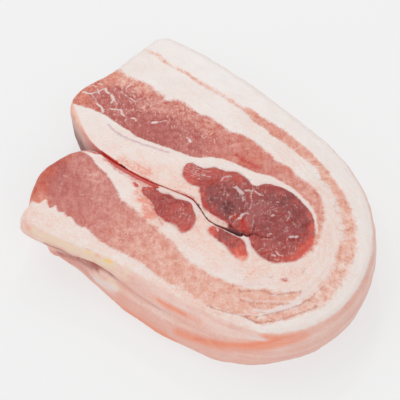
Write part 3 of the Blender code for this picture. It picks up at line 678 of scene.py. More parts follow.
class Fold:
    """The ribs as smooth curves of the distance along the middle of the belly."""

    def __init__(self, ribs):
        self.membrane = np.array([rib.membrane for rib in ribs])
        self.rind = np.array([rib.rind for rib in ribs])
        self.wall = np.array([(rib.foot, rib.crease, rib.depth) for rib in ribs])
        steps = np.diff((self.membrane + self.rind) / 2.0, axis=0)
        self.stations = np.concatenate([[0.0], np.cumsum(np.hypot(*steps.T))])
        self.length = self.stations[-1]

    def read(self, values, along):
        """The smooth curve through the ribs' values, at distances along the belly."""
        slope = np.gradient(values, self.stations, axis=0)
        first = np.clip(np.searchsorted(self.stations, along) - 1, 0, len(values) - 2)
        span = (self.stations[first + 1] - self.stations[first])[:, None]
        t = np.clip((along - self.stations[first])[:, None] / span, 0.0, 1.0)
        return (
            (2 * t**3 - 3 * t**2 + 1) * values[first]
            + (t**3 - 2 * t**2 + t) * span * slope[first]
            + (3 * t**2 - 2 * t**3) * values[first + 1]
            + (t**3 - t**2) * span * slope[first + 1]
        )

    def width(self, along):
        return np.hypot(*self.read(self.rind - self.membrane, along).T)

    def place(self, along, share):
        """Plan position at a distance along and a share of the way from membrane to rind."""
        membrane = self.read(self.membrane, along)
        return membrane + (self.read(self.rind, along) - membrane) * share[:, None]

    def heading(self, along, share):
        """Unit vector along the belly, from the thick end towards the thin end."""
        step = 0.5
        ahead = self.place(np.minimum(along + step, self.length), share)
        way = ahead - self.place(np.maximum(along - step, 0.0), share)
        return way / np.maximum(np.hypot(*way.T), 1e-9)[:, None]


def round_block(along, across, height, length, width):
    """Rounds the block's four corners in plan, then all its edges."""
    share = across / width
    near_end = smooth_step(1.0 - np.minimum(along, length - along) / END_REACH)
    membrane_edge = SLIT_EDGE + (MEMBRANE_EDGE - SLIT_EDGE) * near_end
    edge = membrane_edge + (RIND_EDGE - membrane_edge) * share
    hold_along = np.clip(along, END_CORNER, length - END_CORNER)
    hold_across = np.clip(across, END_CORNER, width - END_CORNER)
    out = np.stack([along - hold_along, across - hold_across])
    out *= np.abs(out).max(axis=0) / np.maximum(np.hypot(*out), 1e-9)
    core = out * np.minimum(1.0, (END_CORNER - edge) / np.maximum(np.hypot(*out), 1e-9))
    side = out - core
    core_height = np.clip(height, edge, SLICE_HEIGHT - edge)
    rise = height - core_height
    sideways = np.hypot(*side)
    pull = np.maximum(sideways, np.abs(rise)) / np.maximum(np.hypot(sideways, rise), 1e-9)
    side *= pull
    return hold_along + core[0] + side[0], hold_across + core[1] + side[1], core_height + rise * pull


def follow_crease(height, crease, depth):
    """Moves heights up or down so that the block's crease row lies at the crease."""
    shift = (crease - CREASE_ROW * SLICE_HEIGHT) * smooth_step(4.0 * depth)
    return height + shift * np.sin(np.pi * height / SLICE_HEIGHT)


def rind_offset(height, foot, crease, depth):
    """How far the rind wall stands out at a height: its swell, its crease and its foot."""
    swell = RIND_SWELL * np.sin(np.pi * np.clip(height / SLICE_HEIGHT, 0.0, 1.0))
    pinch = CREASE_PINCH * depth * np.exp(-(((height - crease) / CREASE_WIDTH) ** 2))
    lean = 1.0 - height / SLICE_HEIGHT
    step = smooth_step((crease - height) / FOLD_DROP + 0.3)
    full = smooth_step((depth - 0.6) / 0.4)
    return swell - pinch + foot * (lean + (step - lean) * full)


def end_offsets(along, length, share, height):
    """How far a point moves along the belly, out of the thick end or out of the thin end."""
    swell = END_SWELL * np.sin(np.pi * np.clip(height / SLICE_HEIGHT, 0.0, 1.0))
    thick = swell + THICK_END_BULGE * np.exp(-(((share - 0.18) / 0.17) ** 2))
    thin = swell + THIN_END_BULGE * np.sin(np.pi * np.clip(share / THIN_END_SPAN, 0.0, 1.0)) ** 0.7
    thin -= OVERHANG * smooth_step((15.0 - height) / 5.0) * smooth_step((share - 0.6) / 0.3)
    near_thick = smooth_step(1.0 - along / END_REACH)
    near_thin = smooth_step(1.0 - (length - along) / END_REACH)
    return thin * near_thin - thick * near_thick


def membrane_offset(along, share, height):
    """How far the thick end's membrane foot is drawn in towards the rind."""
    low = (1.0 - np.clip(height / SLICE_HEIGHT, 0.0, 1.0)) ** 3
    return UNDERCUT * low * smooth_step(1.0 - along / END_REACH) * smooth_step(1.0 - share / 0.3)


def face_relief(plan):
    """Height of the cut face's mounds and hollows at plan positions."""
    relief = np.zeros(len(plan))
    for x, y, radius, height in MOUNDS:
        away = np.hypot(plan[:, 0] - x, plan[:, 1] - y) / radius
        relief += height * np.exp(-away * away)
    return relief


class Slice(NamedTuple):
    """The points of the folded slice, and where each one is in the straight belly."""

    points: np.ndarray      # x, y, z
    plan: np.ndarray        # x, y of the cut face straight above the point
    along: np.ndarray
    across: np.ndarray
    width: np.ndarray       # of the belly, at the point
    height: np.ndarray      # above the lower cut face, before the mounds
    crease: np.ndarray      # height of the rind's crease
    depth: np.ndarray       # depth of that crease, from 0 to 1


def fold_slice(block):
    """Takes points of the straight block, each 0 to 1 along, across and up, to the folded slice."""
    fold = Fold(RIBS)
    along = block[:, 0] * fold.length
    width = fold.width(along)
    along, across, height = round_block(
        along, block[:, 1] * width, block[:, 2] * SLICE_HEIGHT, fold.length, width
    )
    width = fold.width(along)
    share = across / width
    near_rind = smooth_step((share - 0.5) / 0.5)
    foot, crease, depth = fold.read(fold.wall, along).T
    height = height + (follow_crease(height, crease, depth) - height) * near_rind
    base = fold.place(along, share)
    heading = fold.heading(along, share)
    outward = np.stack([-heading[:, 1], heading[:, 0]], axis=1)
    out = rind_offset(height, foot, crease, depth) * near_rind + membrane_offset(along, share, height)
    plan = base + outward * out[:, None]
    plan += heading * end_offsets(along, fold.length, share, height)[:, None]
    top = np.full(len(along), SLICE_HEIGHT)
    face = base + heading * end_offsets(along, fold.length, share, top)[:, None]
    height_over = height + face_relief(plan) * smooth_step(height / SLICE_HEIGHT)
    points = np.column_stack([plan, height_over])
    return Slice(points, face, along, across, width, height, crease, depth)


# ---------------------------------------------------------------------------------------------
# Drawing in plan
# ---------------------------------------------------------------------------------------------


def smooth_curve(points, closed=False, step=0.7):
    """Points about a step apart along a smooth curve through the given ones."""
    points = np.array(points, dtype=float)
    if len(points) == 2 and not closed:
        return points
    if closed:
        knots = np.vstack([points[-1:], points, points[:2]])
    else:
        knots = np.vstack([2 * points[0] - points[1], points, 2 * points[-1] - points[-2]])
    curve = []
    for before, start, end, after in zip(knots[:-3], knots[1:-2], knots[2:-1], knots[3:]):
        parts = max(1, int(np.hypot(*(end - start)) / step))
        for t in np.arange(parts) / parts:
            bend = 2 * before - 5 * start + 4 * end - after
            twist = 3 * start - before - 3 * end + after
            curve.append(start + 0.5 * t * ((end - before) + t * (bend + t * twist)))
    curve.append(knots[-2])
    return np.array(curve)


def distance_to(plan, curve, reach):
    """Distance from each plan position to a curve, up to a reach."""
    distance = np.full(len(plan), float(reach))
    low, high = curve.min(axis=0) - reach, curve.max(axis=0) + reach
    near = np.nonzero(((plan > low) & (plan < high)).all(axis=1))[0]
    close = plan[near]
    best = distance[near]
    for start, end in zip(curve[:-1], curve[1:]):
        way = end - start
        t = np.clip((close - start) @ way / max(way @ way, 1e-9), 0.0, 1.0)
        best = np.minimum(best, np.hypot(*(close - start - t[:, None] * way).T))
    distance[near] = best
    return distance


def inside(plan, curve):
    """Whether each plan position lies inside a closed curve."""
    x, y = plan.T
    crossed = np.zeros(len(plan), dtype=bool)
    for (start_x, start_y), (end_x, end_y) in zip(curve[:-1], curve[1:]):
        if start_y != end_y:
            level = (start_y > y) != (end_y > y)
            at = start_x + (y - start_y) * (end_x - start_x) / (end_y - start_y)
            crossed ^= level & (x < at)
    return crossed


def depth_inside(plan, outlines, reach=5.0):
    """Distance inside the nearest of some outlines, negative outside them all."""
    deepest = np.full(len(plan), -reach)
    for outline in outlines:
        curve = smooth_curve(outline, closed=True)
        distance = distance_to(plan, curve, reach)
        deepest = np.maximum(deepest, np.where(inside(plan, curve), distance, -distance))
    return deepest


def drawn(plan, strokes, shoulder=1.2):
    """How strongly strokes mark each plan position: half their strength at their edges."""
    mark = np.zeros(len(plan))
    for half, strength, points in strokes:
        curve = smooth_curve(points, step=0.5)
        inward = half - distance_to(plan, curve, half + shoulder / 2.0)
        mark = np.maximum(mark, strength * np.clip(inward / shoulder + 0.5, 0.0, 1.0))
    return mark


def blended(plan, spots):
    """A value blended between spots, each with a centre, a reach and a value."""
    total = np.full(len(plan), 1e-6)
    value = np.full(len(plan), 0.5e-6)
    for x, y, reach, level in spots:
        weight = 1.0 / (0.05 + ((plan[:, 0] - x) ** 2 + (plan[:, 1] - y) ** 2) / reach**2) ** 2
        total += weight
        value += weight * level
    return value / total


def rough(points, size, seed=0.0, octaves=2):
    """Smooth random relief between about -1 and 1, with features of a given size."""
    shift = Vector((seed, seed * 0.7, seed * 1.3))
    return np.array([
        noise.fractal(Vector(point) / size + shift, 1.0, 2.0, octaves) for point in points
    ])


# ---------------------------------------------------------------------------------------------
# The mesh
# ---------------------------------------------------------------------------------------------


def crowded(block):
    """Moves the evenly spaced lines of the block to where they are wanted."""
    along, across, up = block.T
    across = across - CROWDING * np.sin(2.0 * np.pi * across) / (2.0 * np.pi)
    return np.column_stack([along, across, np.interp(up, ROW_SHARES, ROW_HEIGHTS)])


def block_mesh():
    """A unit block cut into a fine grid, from a cube, with fewer lines on the face it lies on."""
    bm = bmesh.new()
    bmesh.ops.create_cube(bm, size=1.0)
    bmesh.ops.translate(bm, verts=bm.verts, vec=(0.5, 0.5, 0.5))
    for axis, parts in enumerate(DIVISIONS):
        across = [
            edge
            for edge in bm.edges
            if abs(edge.verts[0].co[axis] - edge.verts[1].co[axis]) > 1e-6
        ]
        bmesh.ops.subdivide_edges(bm, edges=across, cuts=parts - 1, use_grid_fill=True)
    spare = []
    for edge in bm.edges:
        first, second = (vert.co for vert in edge.verts)
        if first.z < 1e-6 and second.z < 1e-6:
            axis = 0 if abs(first.x - second.x) < 1e-6 else 1
            line = round(first[axis] * DIVISIONS[axis])
            if line % BOTTOM_STEP and 0 < line < DIVISIONS[axis]:
                spare.append(edge)
    bmesh.ops.dissolve_edges(bm, edges=spare, use_verts=True)
    return bm


def surface_relief(belly, marks):
    """How far each point of the surface moves out along its normal."""
    points = belly.points
    cut = smooth_step((belly.height - SLICE_HEIGHT + 2.0) / 1.5)
    lying = smooth_step(belly.height / 2.0)
    soft_wave = rough(points, 9.0, seed=3.0)
    fine_wave = rough(points, 2.6, seed=11.0, octaves=3)
    grain = rough(points, 0.9, seed=23.0)
    strands = rough(
        np.column_stack([belly.along / 12.0, belly.across / 1.3, belly.height / 6.0]), 1.0, seed=5.0
    )
    lean = smooth_step(marks["lean"] / 0.8 + 0.5)
    muscle = smooth_step(marks["muscle"] / 0.8 + 0.5)
    fat = (1.0 - lean) * (1.0 - muscle)
    face = 0.18 * soft_wave + fat * (0.03 * fine_wave + (0.02 + 0.22 * marks["fat_warmth"]) * strands)
    face += lean * (0.05 * fine_wave + 0.07 * grain - 0.10)
    face += muscle * (0.42 * fine_wave + 0.16 * grain)
    face -= 0.35 * np.exp(-((marks["muscle"] / 0.5) ** 2))
    face += marks["seam_and_glint"] * np.maximum(0.16 * lean, 0.22 * muscle)
    inland = smooth_step(-0.3 - marks["membrane"])
    face += inland * ROLL_HEIGHT * np.sqrt(np.clip(1.0 - (1.0 - marks["roll"]) ** 2, 0.0, 1.0))
    face -= inland * (0.60 * marks["crack_shade"] ** 2 + HOLLOW_DEPTH * marks["hollow"])
    streaks = rough(
        np.column_stack([belly.along / 22.0, belly.height / 1.8, belly.across / 9.0]), 1.0, seed=8.0
    )
    hidden = marks["slit"] * smooth_step((marks["membrane"] + 3.0) / 2.0)
    wall = (0.30 * soft_wave + 0.10 * fine_wave + 0.12 * streaks) * (1.0 - 0.9 * hidden)
    return (face * cut + wall * (1.0 - cut)) * lying


def build_slice():
    bm = block_mesh()
    block = np.array([vert.co for vert in bm.verts])
    belly = fold_slice(crowded(block))
    marks = draw_marks(belly)
    for vert, point in zip(bm.verts, belly.points):
        vert.co = point
    bmesh.ops.recalc_face_normals(bm, faces=bm.faces)
    bm.normal_update()
    normals = np.array([vert.normal for vert in bm.verts])
    points = belly.points + normals * surface_relief(belly, marks)[:, None]
    points = settle(points)
    for vert, point in zip(bm.verts, points):
        vert.co = point
    mesh = bpy.data.meshes.new("folded_belly")
    bm.to_mesh(mesh)
    bm.free()
    mesh.shade_smooth()
    for name, values in marks.items():
        kind = "FLOAT" if values.ndim == 1 else "FLOAT_VECTOR"
        field = "value" if values.ndim == 1 else "vector"
        mesh.attributes.new(name, kind, "POINT").data.foreach_set(field, values.astype(np.float32).ravel())
    slice_piece = bpy.data.objects.new("folded_belly", mesh)
    bpy.context.scene.collection.objects.link(slice_piece)
    return slice_piece


def settle(points):
    """Moves the slice onto the part's origin, in metres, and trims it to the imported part's box."""
    points = (points - np.array([*FOLD_CENTRE, 0.0])) * MM
    low, high = points.min(axis=0), points.max(axis=0)
    cad_low, cad_high = np.array(CAD_BOX[0]), np.array(CAD_BOX[1])
    scale = np.minimum(1.0, (cad_high - cad_low) / (high - low))
    centre = np.clip((low + high) / 2.0, cad_low + (high - low) * scale / 2.0,
                     cad_high - (high - low) * scale / 2.0)
    points = (points - (low + high) / 2.0) * scale + centre
    points[:, 2] -= points[:, 2].min()
    return points


def draw_marks(belly):
    """What the material reads at each point: distances to the layers, levels, and strokes."""
    low = 1.0 - belly.height / SLICE_HEIGHT
    flat = np.column_stack([belly.plan, np.zeros(len(belly.plan))])
    drift = np.column_stack([rough(flat, 14.0, seed=31.0), rough(flat, 14.0, seed=47.0)])
    plan = belly.plan + drift * (low * 3.0)[:, None]
    upper = smooth_step((belly.height - SLICE_HEIGHT + 5.0) / 3.0)
    cut_depth = np.minimum(belly.height, SLICE_HEIGHT - belly.height)
    membrane = cut_depth - belly.across
    face = 1.0 - smooth_step(membrane + 0.6)
    skin = cut_depth - (belly.width - belly.across)
    near_skin = smooth_step(skin + 2.0)
    side = np.column_stack([belly.along + RIND_START, belly.height])
    fine_drift = np.column_stack([rough(flat, 1.9, seed=61.0), rough(flat, 1.9, seed=73.0)])
    face_height = SLICE_HEIGHT + face_relief(belly.plan)
    drawing = plan + DRAWN_SLANT * (DRAWN_HEIGHT - face_height)[:, None]
    flicker = np.column_stack([rough(flat, 0.8, seed=83.0), rough(flat, 0.8, seed=97.0)])
    strokes = drawing + 0.30 * fine_drift + 0.22 * flicker
    marks = {
        "belly": np.column_stack([belly.along, belly.across, belly.height]),
        "lean": depth_inside(plan, (UPPER_LEAN, OUTER_STRIPE, LOWER_LEAN)),
        "muscle": depth_inside(drawing, (BIG_MUSCLE, SMALL_MUSCLE, THIRD_MUSCLE)),
        "lean_depth": blended(plan, LEAN_DEPTHS),
        "lean_heat": blended(plan, LEAN_HEATS),
        "muscle_depth": blended(drawing, MUSCLE_DEPTHS),
        "film_and_sheen": blended(drawing, FILMS_AND_SHEEN),
        "fat_warmth": blended(plan, FAT_WARMTHS),
        "softness": blended(plan, SOFTNESSES),
        "specks": blended(plan, SPECKS),
        "seam_and_glint": drawn(strokes, SEAMS_AND_GLINTS, 1.0) * face,
        "thread": drawn(strokes, THREADS, 1.4) * face,
        "vein": drawn(strokes, VEINS) * face,
        "red": np.maximum(drawn(strokes, REDS, 1.8) * upper, drawn(side, RIND_REDS, 3.0) * near_skin),
        "crack_shade": drawn(strokes, SHADED_CRACKS) * upper,
        "line": np.maximum(drawn(side, RIND_LINES), drawn(side, RIND_SHADOWS, 3.4)) * near_skin,
        "pale": drawn(side, RIND_PALES_AND_HIGHLIGHTS, 2.4) * near_skin,
        "orange": drawn(side, RIND_ORANGES, 3.0) * near_skin,
        "yellow": drawn(side, RIND_YELLOWS, 3.5) * near_skin,
        "roll": drawn(drawing, ROLLS, 2.4),
        "hollow": drawn(drawing, HOLLOWS) * upper,
        "skin": skin,
        "membrane": membrane + 2.4 * smooth_step(1.3 - belly.along / 20.0),
        "slit": smooth_step(np.minimum(belly.along, belly.along.max() - belly.along) / 20.0 - 0.6),
    }
    return marks


# ---------------------------------------------------------------------------------------------
# The material
# ---------------------------------------------------------------------------------------------


class Value:
    """A shader socket that takes part in sums: each operation adds a Math node."""

    def __init__(self, recipe, socket):
        self.recipe = recipe
        self.socket = socket

    def maths(self, operation, first, second):
        return self.recipe.maths(operation, first, second)

    def __add__(self, other):
        return self.maths("ADD", self, other)

    def __radd__(self, other):
        return self.maths("ADD", other, self)

    def __sub__(self, other):
        return self.maths("SUBTRACT", self, other)

    def __rsub__(self, other):
        return self.maths("SUBTRACT", other, self)

    def __mul__(self, other):
        return self.maths("MULTIPLY", self, other)

    def __rmul__(self, other):
        return self.maths("MULTIPLY", other, self)

    def __truediv__(self, other):
        return self.maths("DIVIDE", self, other)

    def __neg__(self):
        return self.maths("MULTIPLY", self, -1.0)


class Recipe:
    """The nodes of one material."""

    def __init__(self, name):
        self.material = bpy.data.materials.new(name)
        self.material.use_nodes = True
        self.tree = self.material.node_tree
        self.tree.nodes.clear()

    def node(self, kind, settings=None, sockets=None, output=0):
        """Adds a node: first its settings, then the values or links of its sockets."""
        node = self.tree.nodes.new(kind)
        for name, value in (settings or {}).items():
            setattr(node, name, value)
        for key, value in (sockets or {}).items():
            if isinstance(value, Value):
                self.tree.links.new(value.socket, node.inputs[key])
            else:
                node.inputs[key].default_value = value
        return Value(self, node.outputs[output]) if node.outputs else None

    def maths_of(self, operation, value):
        return self.node("ShaderNodeMath", {"operation": operation}, {0: value})

    def maths(self, operation, first, second):
        return self.node("ShaderNodeMath", {"operation": operation}, {0: first, 1: second})

    def mark(self, name):
        """A number kept on the mesh."""
        return self.node("ShaderNodeAttribute", {"attribute_name": name}, output=2)

    def ease(self, value, low, high):
        """0 below low, 1 above high, and a smooth step between."""
        return self.node(
            "ShaderNodeMapRange", {"interpolation_type": "SMOOTHSTEP"}, {0: value, 1: low, 2: high}
        )

    def blend(self, share, first, second):
        """A colour between two."""
        return self.node(
            "ShaderNodeMix", {"data_type": "RGBA"}, {0: share, 6: first, 7: second}, output=2
        )

    def ramp(self, value, stops):
        """A colour read off a row of (level, colour) stops."""
        (level, colour), *rest = stops
        for next_level, next_colour in rest:
            share = self.node("ShaderNodeMapRange", None, {0: value, 1: level, 2: next_level})
            colour = self.blend(share, colour, next_colour)
            level = next_level
        return colour

    def scaled(self, vector, scale):
        return self.node("ShaderNodeVectorMath", {"operation": "MULTIPLY"}, {0: vector, 1: scale})

    def mottle(self, vector, size, detail=2.0, roughness=0.55):
        """Noise about 0.5, with features of a size in the vector's own unit."""
        return self.node(
            "ShaderNodeTexNoise",
            None,
            {"Vector": vector, "Scale": 1.0 / size, "Detail": detail, "Roughness": roughness},
        )

    def thread(self, vector, size):
        """1 along thin winding lines about a size apart, 0 between them."""
        away = self.maths_of("ABSOLUTE", self.mottle(vector, size, detail=3.0) - 0.5)
        return self.ease(away, 0.035, 0.0)


def dye(red, green, blue):
    """A colour given with each part 0 to 255, as a shader's linear colour."""
    parts = np.array([red, green, blue]) / 255.0
    linear = np.where(parts <= 0.04045, parts / 12.92, ((parts + 0.055) / 1.055) ** 2.4)
    return (*linear, 1.0)


FAT_COLOURS = (
    (0.00, dye(238, 232, 229)),
    (0.30, dye(235, 220, 213)),
    (0.65, dye(236, 200, 186)),
    (1.10, dye(232, 146, 126)),
)
LEAN_ROSES = (
    (0.10, dye(238, 212, 202)),
    (0.45, dye(224, 165, 151)),
    (0.80, dye(200, 121, 112)),
    (1.15, dye(170, 76, 70)),
)
LEAN_ORANGES = (
    (0.10, dye(242, 214, 198)),
    (0.45, dye(232, 176, 154)),
    (0.80, dye(214, 126, 104)),
    (1.15, dye(190, 76, 56)),
)
MUSCLE_COLOURS = (
    (-0.35, dye(236, 150, 128)),
    (0.00, dye(220, 92, 74)),
    (0.30, dye(194, 84, 74)),
    (0.60, dye(164, 66, 62)),
    (1.10, dye(112, 44, 44)),
)
FILM_AND_SHEEN_GREY = dye(178, 106, 104)
# The pale of the seams and flecks, and of the painted glints and highlights
PALE_AND_HIGHLIGHT = dye(232, 212, 208)
SPECK_PALE = dye(232, 186, 170)
BLOOD = dye(192, 42, 32)
THREAD_BROWN = dye(186, 112, 92)
SHADOW_RED = dye(84, 22, 18)
VEIN_MAUVE = dye(196, 150, 162)
POCKET_GREY = dye(150, 108, 110)
BLIND_END = 120.0        # distance along the belly to where the slit ends
# Painted light: a faint red glow on the slit's upper inner walls, which lifts the shaded gap; it is no lamp
PAINTED_SLIT_LIGHT = dye(150, 26, 18)
NO_PAINTED_LIGHT = dye(0, 0, 0)
RIND_COLOURS = (
    (0.25, dye(226, 166, 150)),
    (0.50, dye(230, 186, 173)),
    (0.80, dye(238, 210, 199)),
)
RIND_ORANGE = dye(236, 132, 92)
RIND_YELLOWS_BY_STRENGTH = (
    (0.9, dye(231, 208, 182)),
    (1.7, dye(242, 202, 112)),
)
RIND_LINE = dye(150, 48, 30)
# The ends' membrane wall by height: pale peach at the top; the dark brown band about 9 to 12 mm up is painted shade
# of the notch between the arms
WALL_COLOURS_AND_SHADE = (
    (2.0, dye(196, 130, 116)),
    (9.0, dye(112, 44, 34)),
    (12.0, dye(138, 68, 56)),
    (16.0, dye(196, 142, 128)),
    (19.5, dye(212, 170, 158)),
    (21.5, dye(226, 160, 142)),
    (23.0, dye(238, 192, 174)),
)
# The slit's walls by height: red at the rim, darker down to about 18 mm as painted shade of the gap
SLIT_COLOURS_AND_SHADE = (
    (8.0, dye(186, 124, 112)),
    (18.0, dye(140, 66, 58)),
    (21.5, dye(172, 40, 30)),
    (23.0, dye(208, 62, 48)),
)


def meat_material():
    r = Recipe("raw_pork")
    place = r.scaled(r.node("ShaderNodeTexCoord", output=3), (1000.0, 1000.0, 1000.0))
    belly = r.node("ShaderNodeAttribute", {"attribute_name": "belly"}, output=1)
    along_grain = r.node(
        "ShaderNodeMapping", None, {"Vector": place, "Rotation": (0.0, 0.0, GRAIN_TURN)}
    )
    grain_space = r.scaled(along_grain, (0.30, 1.0, 0.6))
    strand_space = r.scaled(belly, (0.09, 1.0, 0.3))
    rind_space = r.scaled(belly, (0.06, 0.15, 0.8))

    broad = r.mottle(place, 7.0) - 0.5
    medium = r.mottle(place, 2.6, detail=3.0) - 0.5
    fine = r.mottle(place, 0.9) - 0.5
    grain = r.mottle(grain_space, 1.0, detail=3.0, roughness=0.65) - 0.5
    strand = r.mottle(strand_space, 1.0, detail=4.0, roughness=0.75) - 0.5
    thread = r.thread(r.scaled(along_grain, (0.5, 1.0, 0.8)), 3.4)
    fleck = r.mottle(r.scaled(along_grain, (0.55, 1.1, 0.9)), 0.9, detail=2.0, roughness=0.7)

    # Borders wander round the outlines, more where they are soft
    softness = r.mark("softness")
    wander = (medium * 2.0 + fine * 1.8) * (softness * 0.6 + 0.3)
    half_width = softness * 1.3 + 0.22
    lean = r.ease(r.mark("lean") + wander, -half_width, half_width)
    muscle = r.ease(r.mark("muscle") + wander * 0.6, -half_width * 0.8, half_width * 0.8)

    warmth = r.mark("fat_warmth")
    streaks = strand * (warmth * 1.3) + (fine * 1.6 + medium) * (warmth * 0.9 + 0.05)
    fat = r.ramp(warmth + streaks + broad * 0.3, FAT_COLOURS)
    vein = r.ease(r.mark("vein") + fine * 0.2, 0.20, 0.90)
    fat = r.blend(vein * 0.7, fat, VEIN_MAUVE)

    specks = r.mark("specks")
    tone = r.mark("lean_depth") + medium * (specks * 1.3 + 0.40) + grain * 0.45 + fine * (specks * 0.8 + 0.1)
    heat = r.ease(r.mark("lean_heat") + medium * 0.8, 0.0, 1.0)
    flesh = r.blend(heat, r.ramp(tone, LEAN_ROSES), r.ramp(tone, LEAN_ORANGES))
    speck = r.ease(fleck + specks * 0.20 + medium * 0.2, 0.69, 0.86)
    flesh = r.blend(speck * 0.85, flesh, SPECK_PALE)

    dark = r.mark("muscle_depth") + medium * 0.7 + grain * 0.6 + fine * 0.4
    muscle_colour = r.ramp(dark, MUSCLE_COLOURS)
    # The mauve-grey film: partly a thin skin, partly painted sheen of the wet muscle
    film_and_sheen = r.ease(r.mark("film_and_sheen") + grain * 0.6 + medium * 1.6 + broad * 0.6, 0.25, 1.15)
    muscle_colour = r.blend(film_and_sheen * 0.62, muscle_colour, FILM_AND_SHEEN_GREY)
    sinew = thread * r.ease(fleck + medium, 0.44, 0.70) * r.ease(r.mark("film_and_sheen"), -0.15, 0.30)
    muscle_colour = r.blend(sinew * 0.60, muscle_colour, SPECK_PALE)

    colour = r.blend(lean, fat, flesh)
    colour = r.blend(muscle, colour, muscle_colour)
    red = r.ease(r.mark("red") + fine * 0.4 + medium * 0.4, 0.25, 0.95)
    colour = r.blend(red * 0.92, colour, BLOOD)
    brown = r.ease(r.mark("thread") + fine * 0.6 + medium * 0.6, 0.10, 0.90)
    colour = r.blend(brown * 0.70, colour, THREAD_BROWN)
    # Pale seams and flecks, and some painted glints on the wet big muscle
    seam_and_glint = r.ease(r.mark("seam_and_glint") + fine * 0.6 + grain * 0.5, 0.30, 0.72)
    colour = r.blend(seam_and_glint * (0.86 - muscle * 0.20), colour, PALE_AND_HIGHLIGHT)

    # The membrane side: red at the slit's rim and darker down into the slit, pale above and dark brown lower down at
    # the ends; the darkening downwards is painted shade
    height = r.node("ShaderNodeSeparateXYZ", None, {0: belly}, output=2)
    along = r.node("ShaderNodeSeparateXYZ", None, {0: belly}, output=0)
    from_blind_end = r.maths_of("ABSOLUTE", along - BLIND_END)
    inner_wall = r.ease(r.mark("membrane"), 0.2, 1.2)
    wall = r.ramp(height + medium * 5.0, WALL_COLOURS_AND_SHADE)
    wall = r.blend(r.mark("slit"), wall, r.ramp(height, SLIT_COLOURS_AND_SHADE))
    colour = r.blend(r.ease(r.mark("membrane") + wander * 0.5, -0.3, 0.9), colour, wall)
    pocket = r.ease(from_blind_end, 46.0, 26.0) * inner_wall * r.mark("slit")
    pocket = r.maths("MAXIMUM", pocket, r.ease(r.mark("hollow"), 0.30, 0.80))
    colour = r.blend(pocket, colour, POCKET_GREY)
    # Where the painted light glows: the slit's upper inner walls, away from its blind end
    painted_slit_light = inner_wall * r.mark("slit") * r.ease(from_blind_end, 26.0, 46.0) * r.ease(height, 14.0, 20.0)
    # Painted shade in the cracks and grooves
    crack_shade = r.ease(r.mark("crack_shade") + fine * 0.3, 0.35, 0.80)
    colour = r.blend(crack_shade, colour, SHADOW_RED)

    streak = r.mottle(rind_space, 1.6, detail=3.0, roughness=0.6) - 0.5
    rind = r.ramp(streak * 0.8 + (broad + fine) * 0.4 + height * 0.018 + 0.24, RIND_COLOURS)
    yellow = r.mark("yellow")
    yellow = yellow + (streak * 1.4 + medium * 2.2) * r.ease(yellow, 0.0, 0.25)
    rind = r.blend(r.ease(yellow, 0.10, 0.70) * 0.85, rind, r.ramp(yellow, RIND_YELLOWS_BY_STRENGTH))
    orange = r.ease(r.mark("orange") + streak * 0.8, 0.10, 0.95)
    rind = r.blend(orange * 0.85, rind, RIND_ORANGE)
    # Whitish streaks: painted highlights on the rind, and a cream patch
    rind = r.blend(r.ease(r.mark("pale") + streak * 0.6, 0.1, 0.9) * 0.85, rind, PALE_AND_HIGHLIGHT)
    # Red stains; low on the thin end's rind the red is partly painted shade below the crease
    rind = r.blend(red * 0.7, rind, BLOOD)
    skin = r.ease(r.mark("skin") + medium * 1.6, -1.1, 0.7)
    colour = r.blend(skin, colour, rind)
    # Painted shade in the rind's crease, and the dark line along its top edge
    line = r.ease(r.mark("line") + fine * 0.3, 0.25, 1.0)
    colour = r.blend(line, colour, RIND_LINE)

    gloss = 0.38 - 0.18 * muscle + fine * 0.3
    bumps = fine * 0.10 + grain * (0.08 + 0.16 * lean + 0.35 * muscle) + medium * 0.25 * muscle
    bump = r.node("ShaderNodeBump", None, {"Height": bumps * MM, "Strength": 0.8, "Distance": 1.0})
    surface = r.node("ShaderNodeBsdfPrincipled", None, {
        "Base Color": colour,
        "Roughness": gloss,
        "Normal": bump,
        "IOR": 1.40,
        "Subsurface Weight": 0.12,
        "Subsurface Radius": (1.0, 0.4, 0.25),
        "Subsurface Scale": 0.0015,
        # The emission is painted light in the slit
        "Emission Color": r.blend(painted_slit_light, NO_PAINTED_LIGHT, PAINTED_SLIT_LIGHT),
        "Emission Strength": 0.4,
    })
    r.node("ShaderNodeOutputMaterial", None, {"Surface": surface})
    return r.material


# ---------------------------------------------------------------------------------------------
# The table, the light and the camera
# ---------------------------------------------------------------------------------------------

def floor_material():
    r = Recipe("pale_table")
    surface = r.node("ShaderNodeBsdfPrincipled", None, {
        "Base Color": dye(142, 142, 142),
        "Roughness": 0.9,
        "Specular IOR Level": 0.0,
        "Emission Color": (1.0, 1.0, 1.0, 1.0),
        "Emission Strength": 0.620,
    })
    r.node("ShaderNodeOutputMaterial", None, {"Surface": surface})
    return r.material


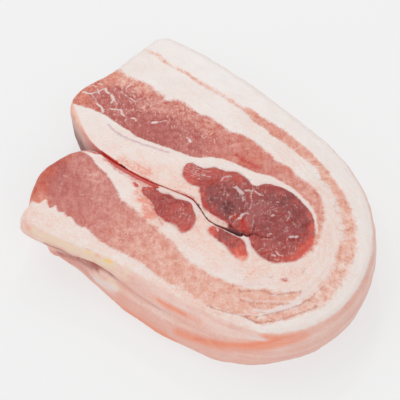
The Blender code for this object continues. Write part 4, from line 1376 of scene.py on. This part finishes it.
def lay_floor():
    bm = bmesh.new()
    bmesh.ops.create_grid(bm, x_segments=1, y_segments=1, size=3.0)
    mesh = bpy.data.meshes.new("table")
    bm.to_mesh(mesh)
    bm.free()
    mesh.materials.append(floor_material())
    floor = bpy.data.objects.new("table", mesh)
    bpy.context.scene.collection.objects.link(floor)


def add_lights():
    world = bpy.data.worlds.new("studio")
    world.use_nodes = True
    background = world.node_tree.nodes["Background"]
    background.inputs["Color"].default_value = (1.0, 1.0, 1.0, 1.0)
    background.inputs["Strength"].default_value = 0.42
    bpy.context.scene.world = world
    for name, place, size, power in (
        ("softbox", (-0.55, 0.10, 0.85), 0.8, 3.1),
        ("fill", (0.7, -0.5, 0.6), 0.8, 3.2),
        ("front", (-0.35, -0.80, 0.40), 0.8, 2.0),
        ("back", (0.15, 0.85, 0.30), 0.8, 1.6),
        ("sparkle", (-0.333, 0.502, 0.669), 0.07, 0.8),
    ):
        light = bpy.data.lights.new(name, "AREA")
        light.size = size
        light.energy = power
        lamp = bpy.data.objects.new(name, light)
        aim = -Vector(place)
        lamp.matrix_world = Matrix.Translation(place) @ aim.to_track_quat("-Z", "Y").to_matrix().to_4x4()
        bpy.context.scene.collection.objects.link(lamp)


CAMERA_TARGET = Vector((-2.94, -5.30, 12.0)) * MM
CAMERA_BACK = Vector((0.3693, -0.5580, 0.7431))
CAMERA_AWAY = 0.489


def set_camera():
    camera = bpy.data.cameras.new("camera")
    camera.lens = 110.0
    camera.sensor_width = 36.0
    camera.clip_start = 0.01
    holder = bpy.data.objects.new("camera", camera)
    place = CAMERA_TARGET + CAMERA_BACK * CAMERA_AWAY
    turn = (-CAMERA_BACK).to_track_quat("-Z", "Y").to_matrix().to_4x4()
    holder.matrix_world = Matrix.Translation(place) @ turn
    bpy.context.scene.collection.objects.link(holder)
    bpy.context.scene.camera = holder


def main():
    set_camera()
    add_lights()
    lay_floor()
    slice_piece = build_slice()
    slice_piece.data.materials.append(meat_material())
    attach(slice_piece, "root")
    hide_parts("pork_belly")
    bpy.context.scene.view_settings.view_transform = "Standard"


main()
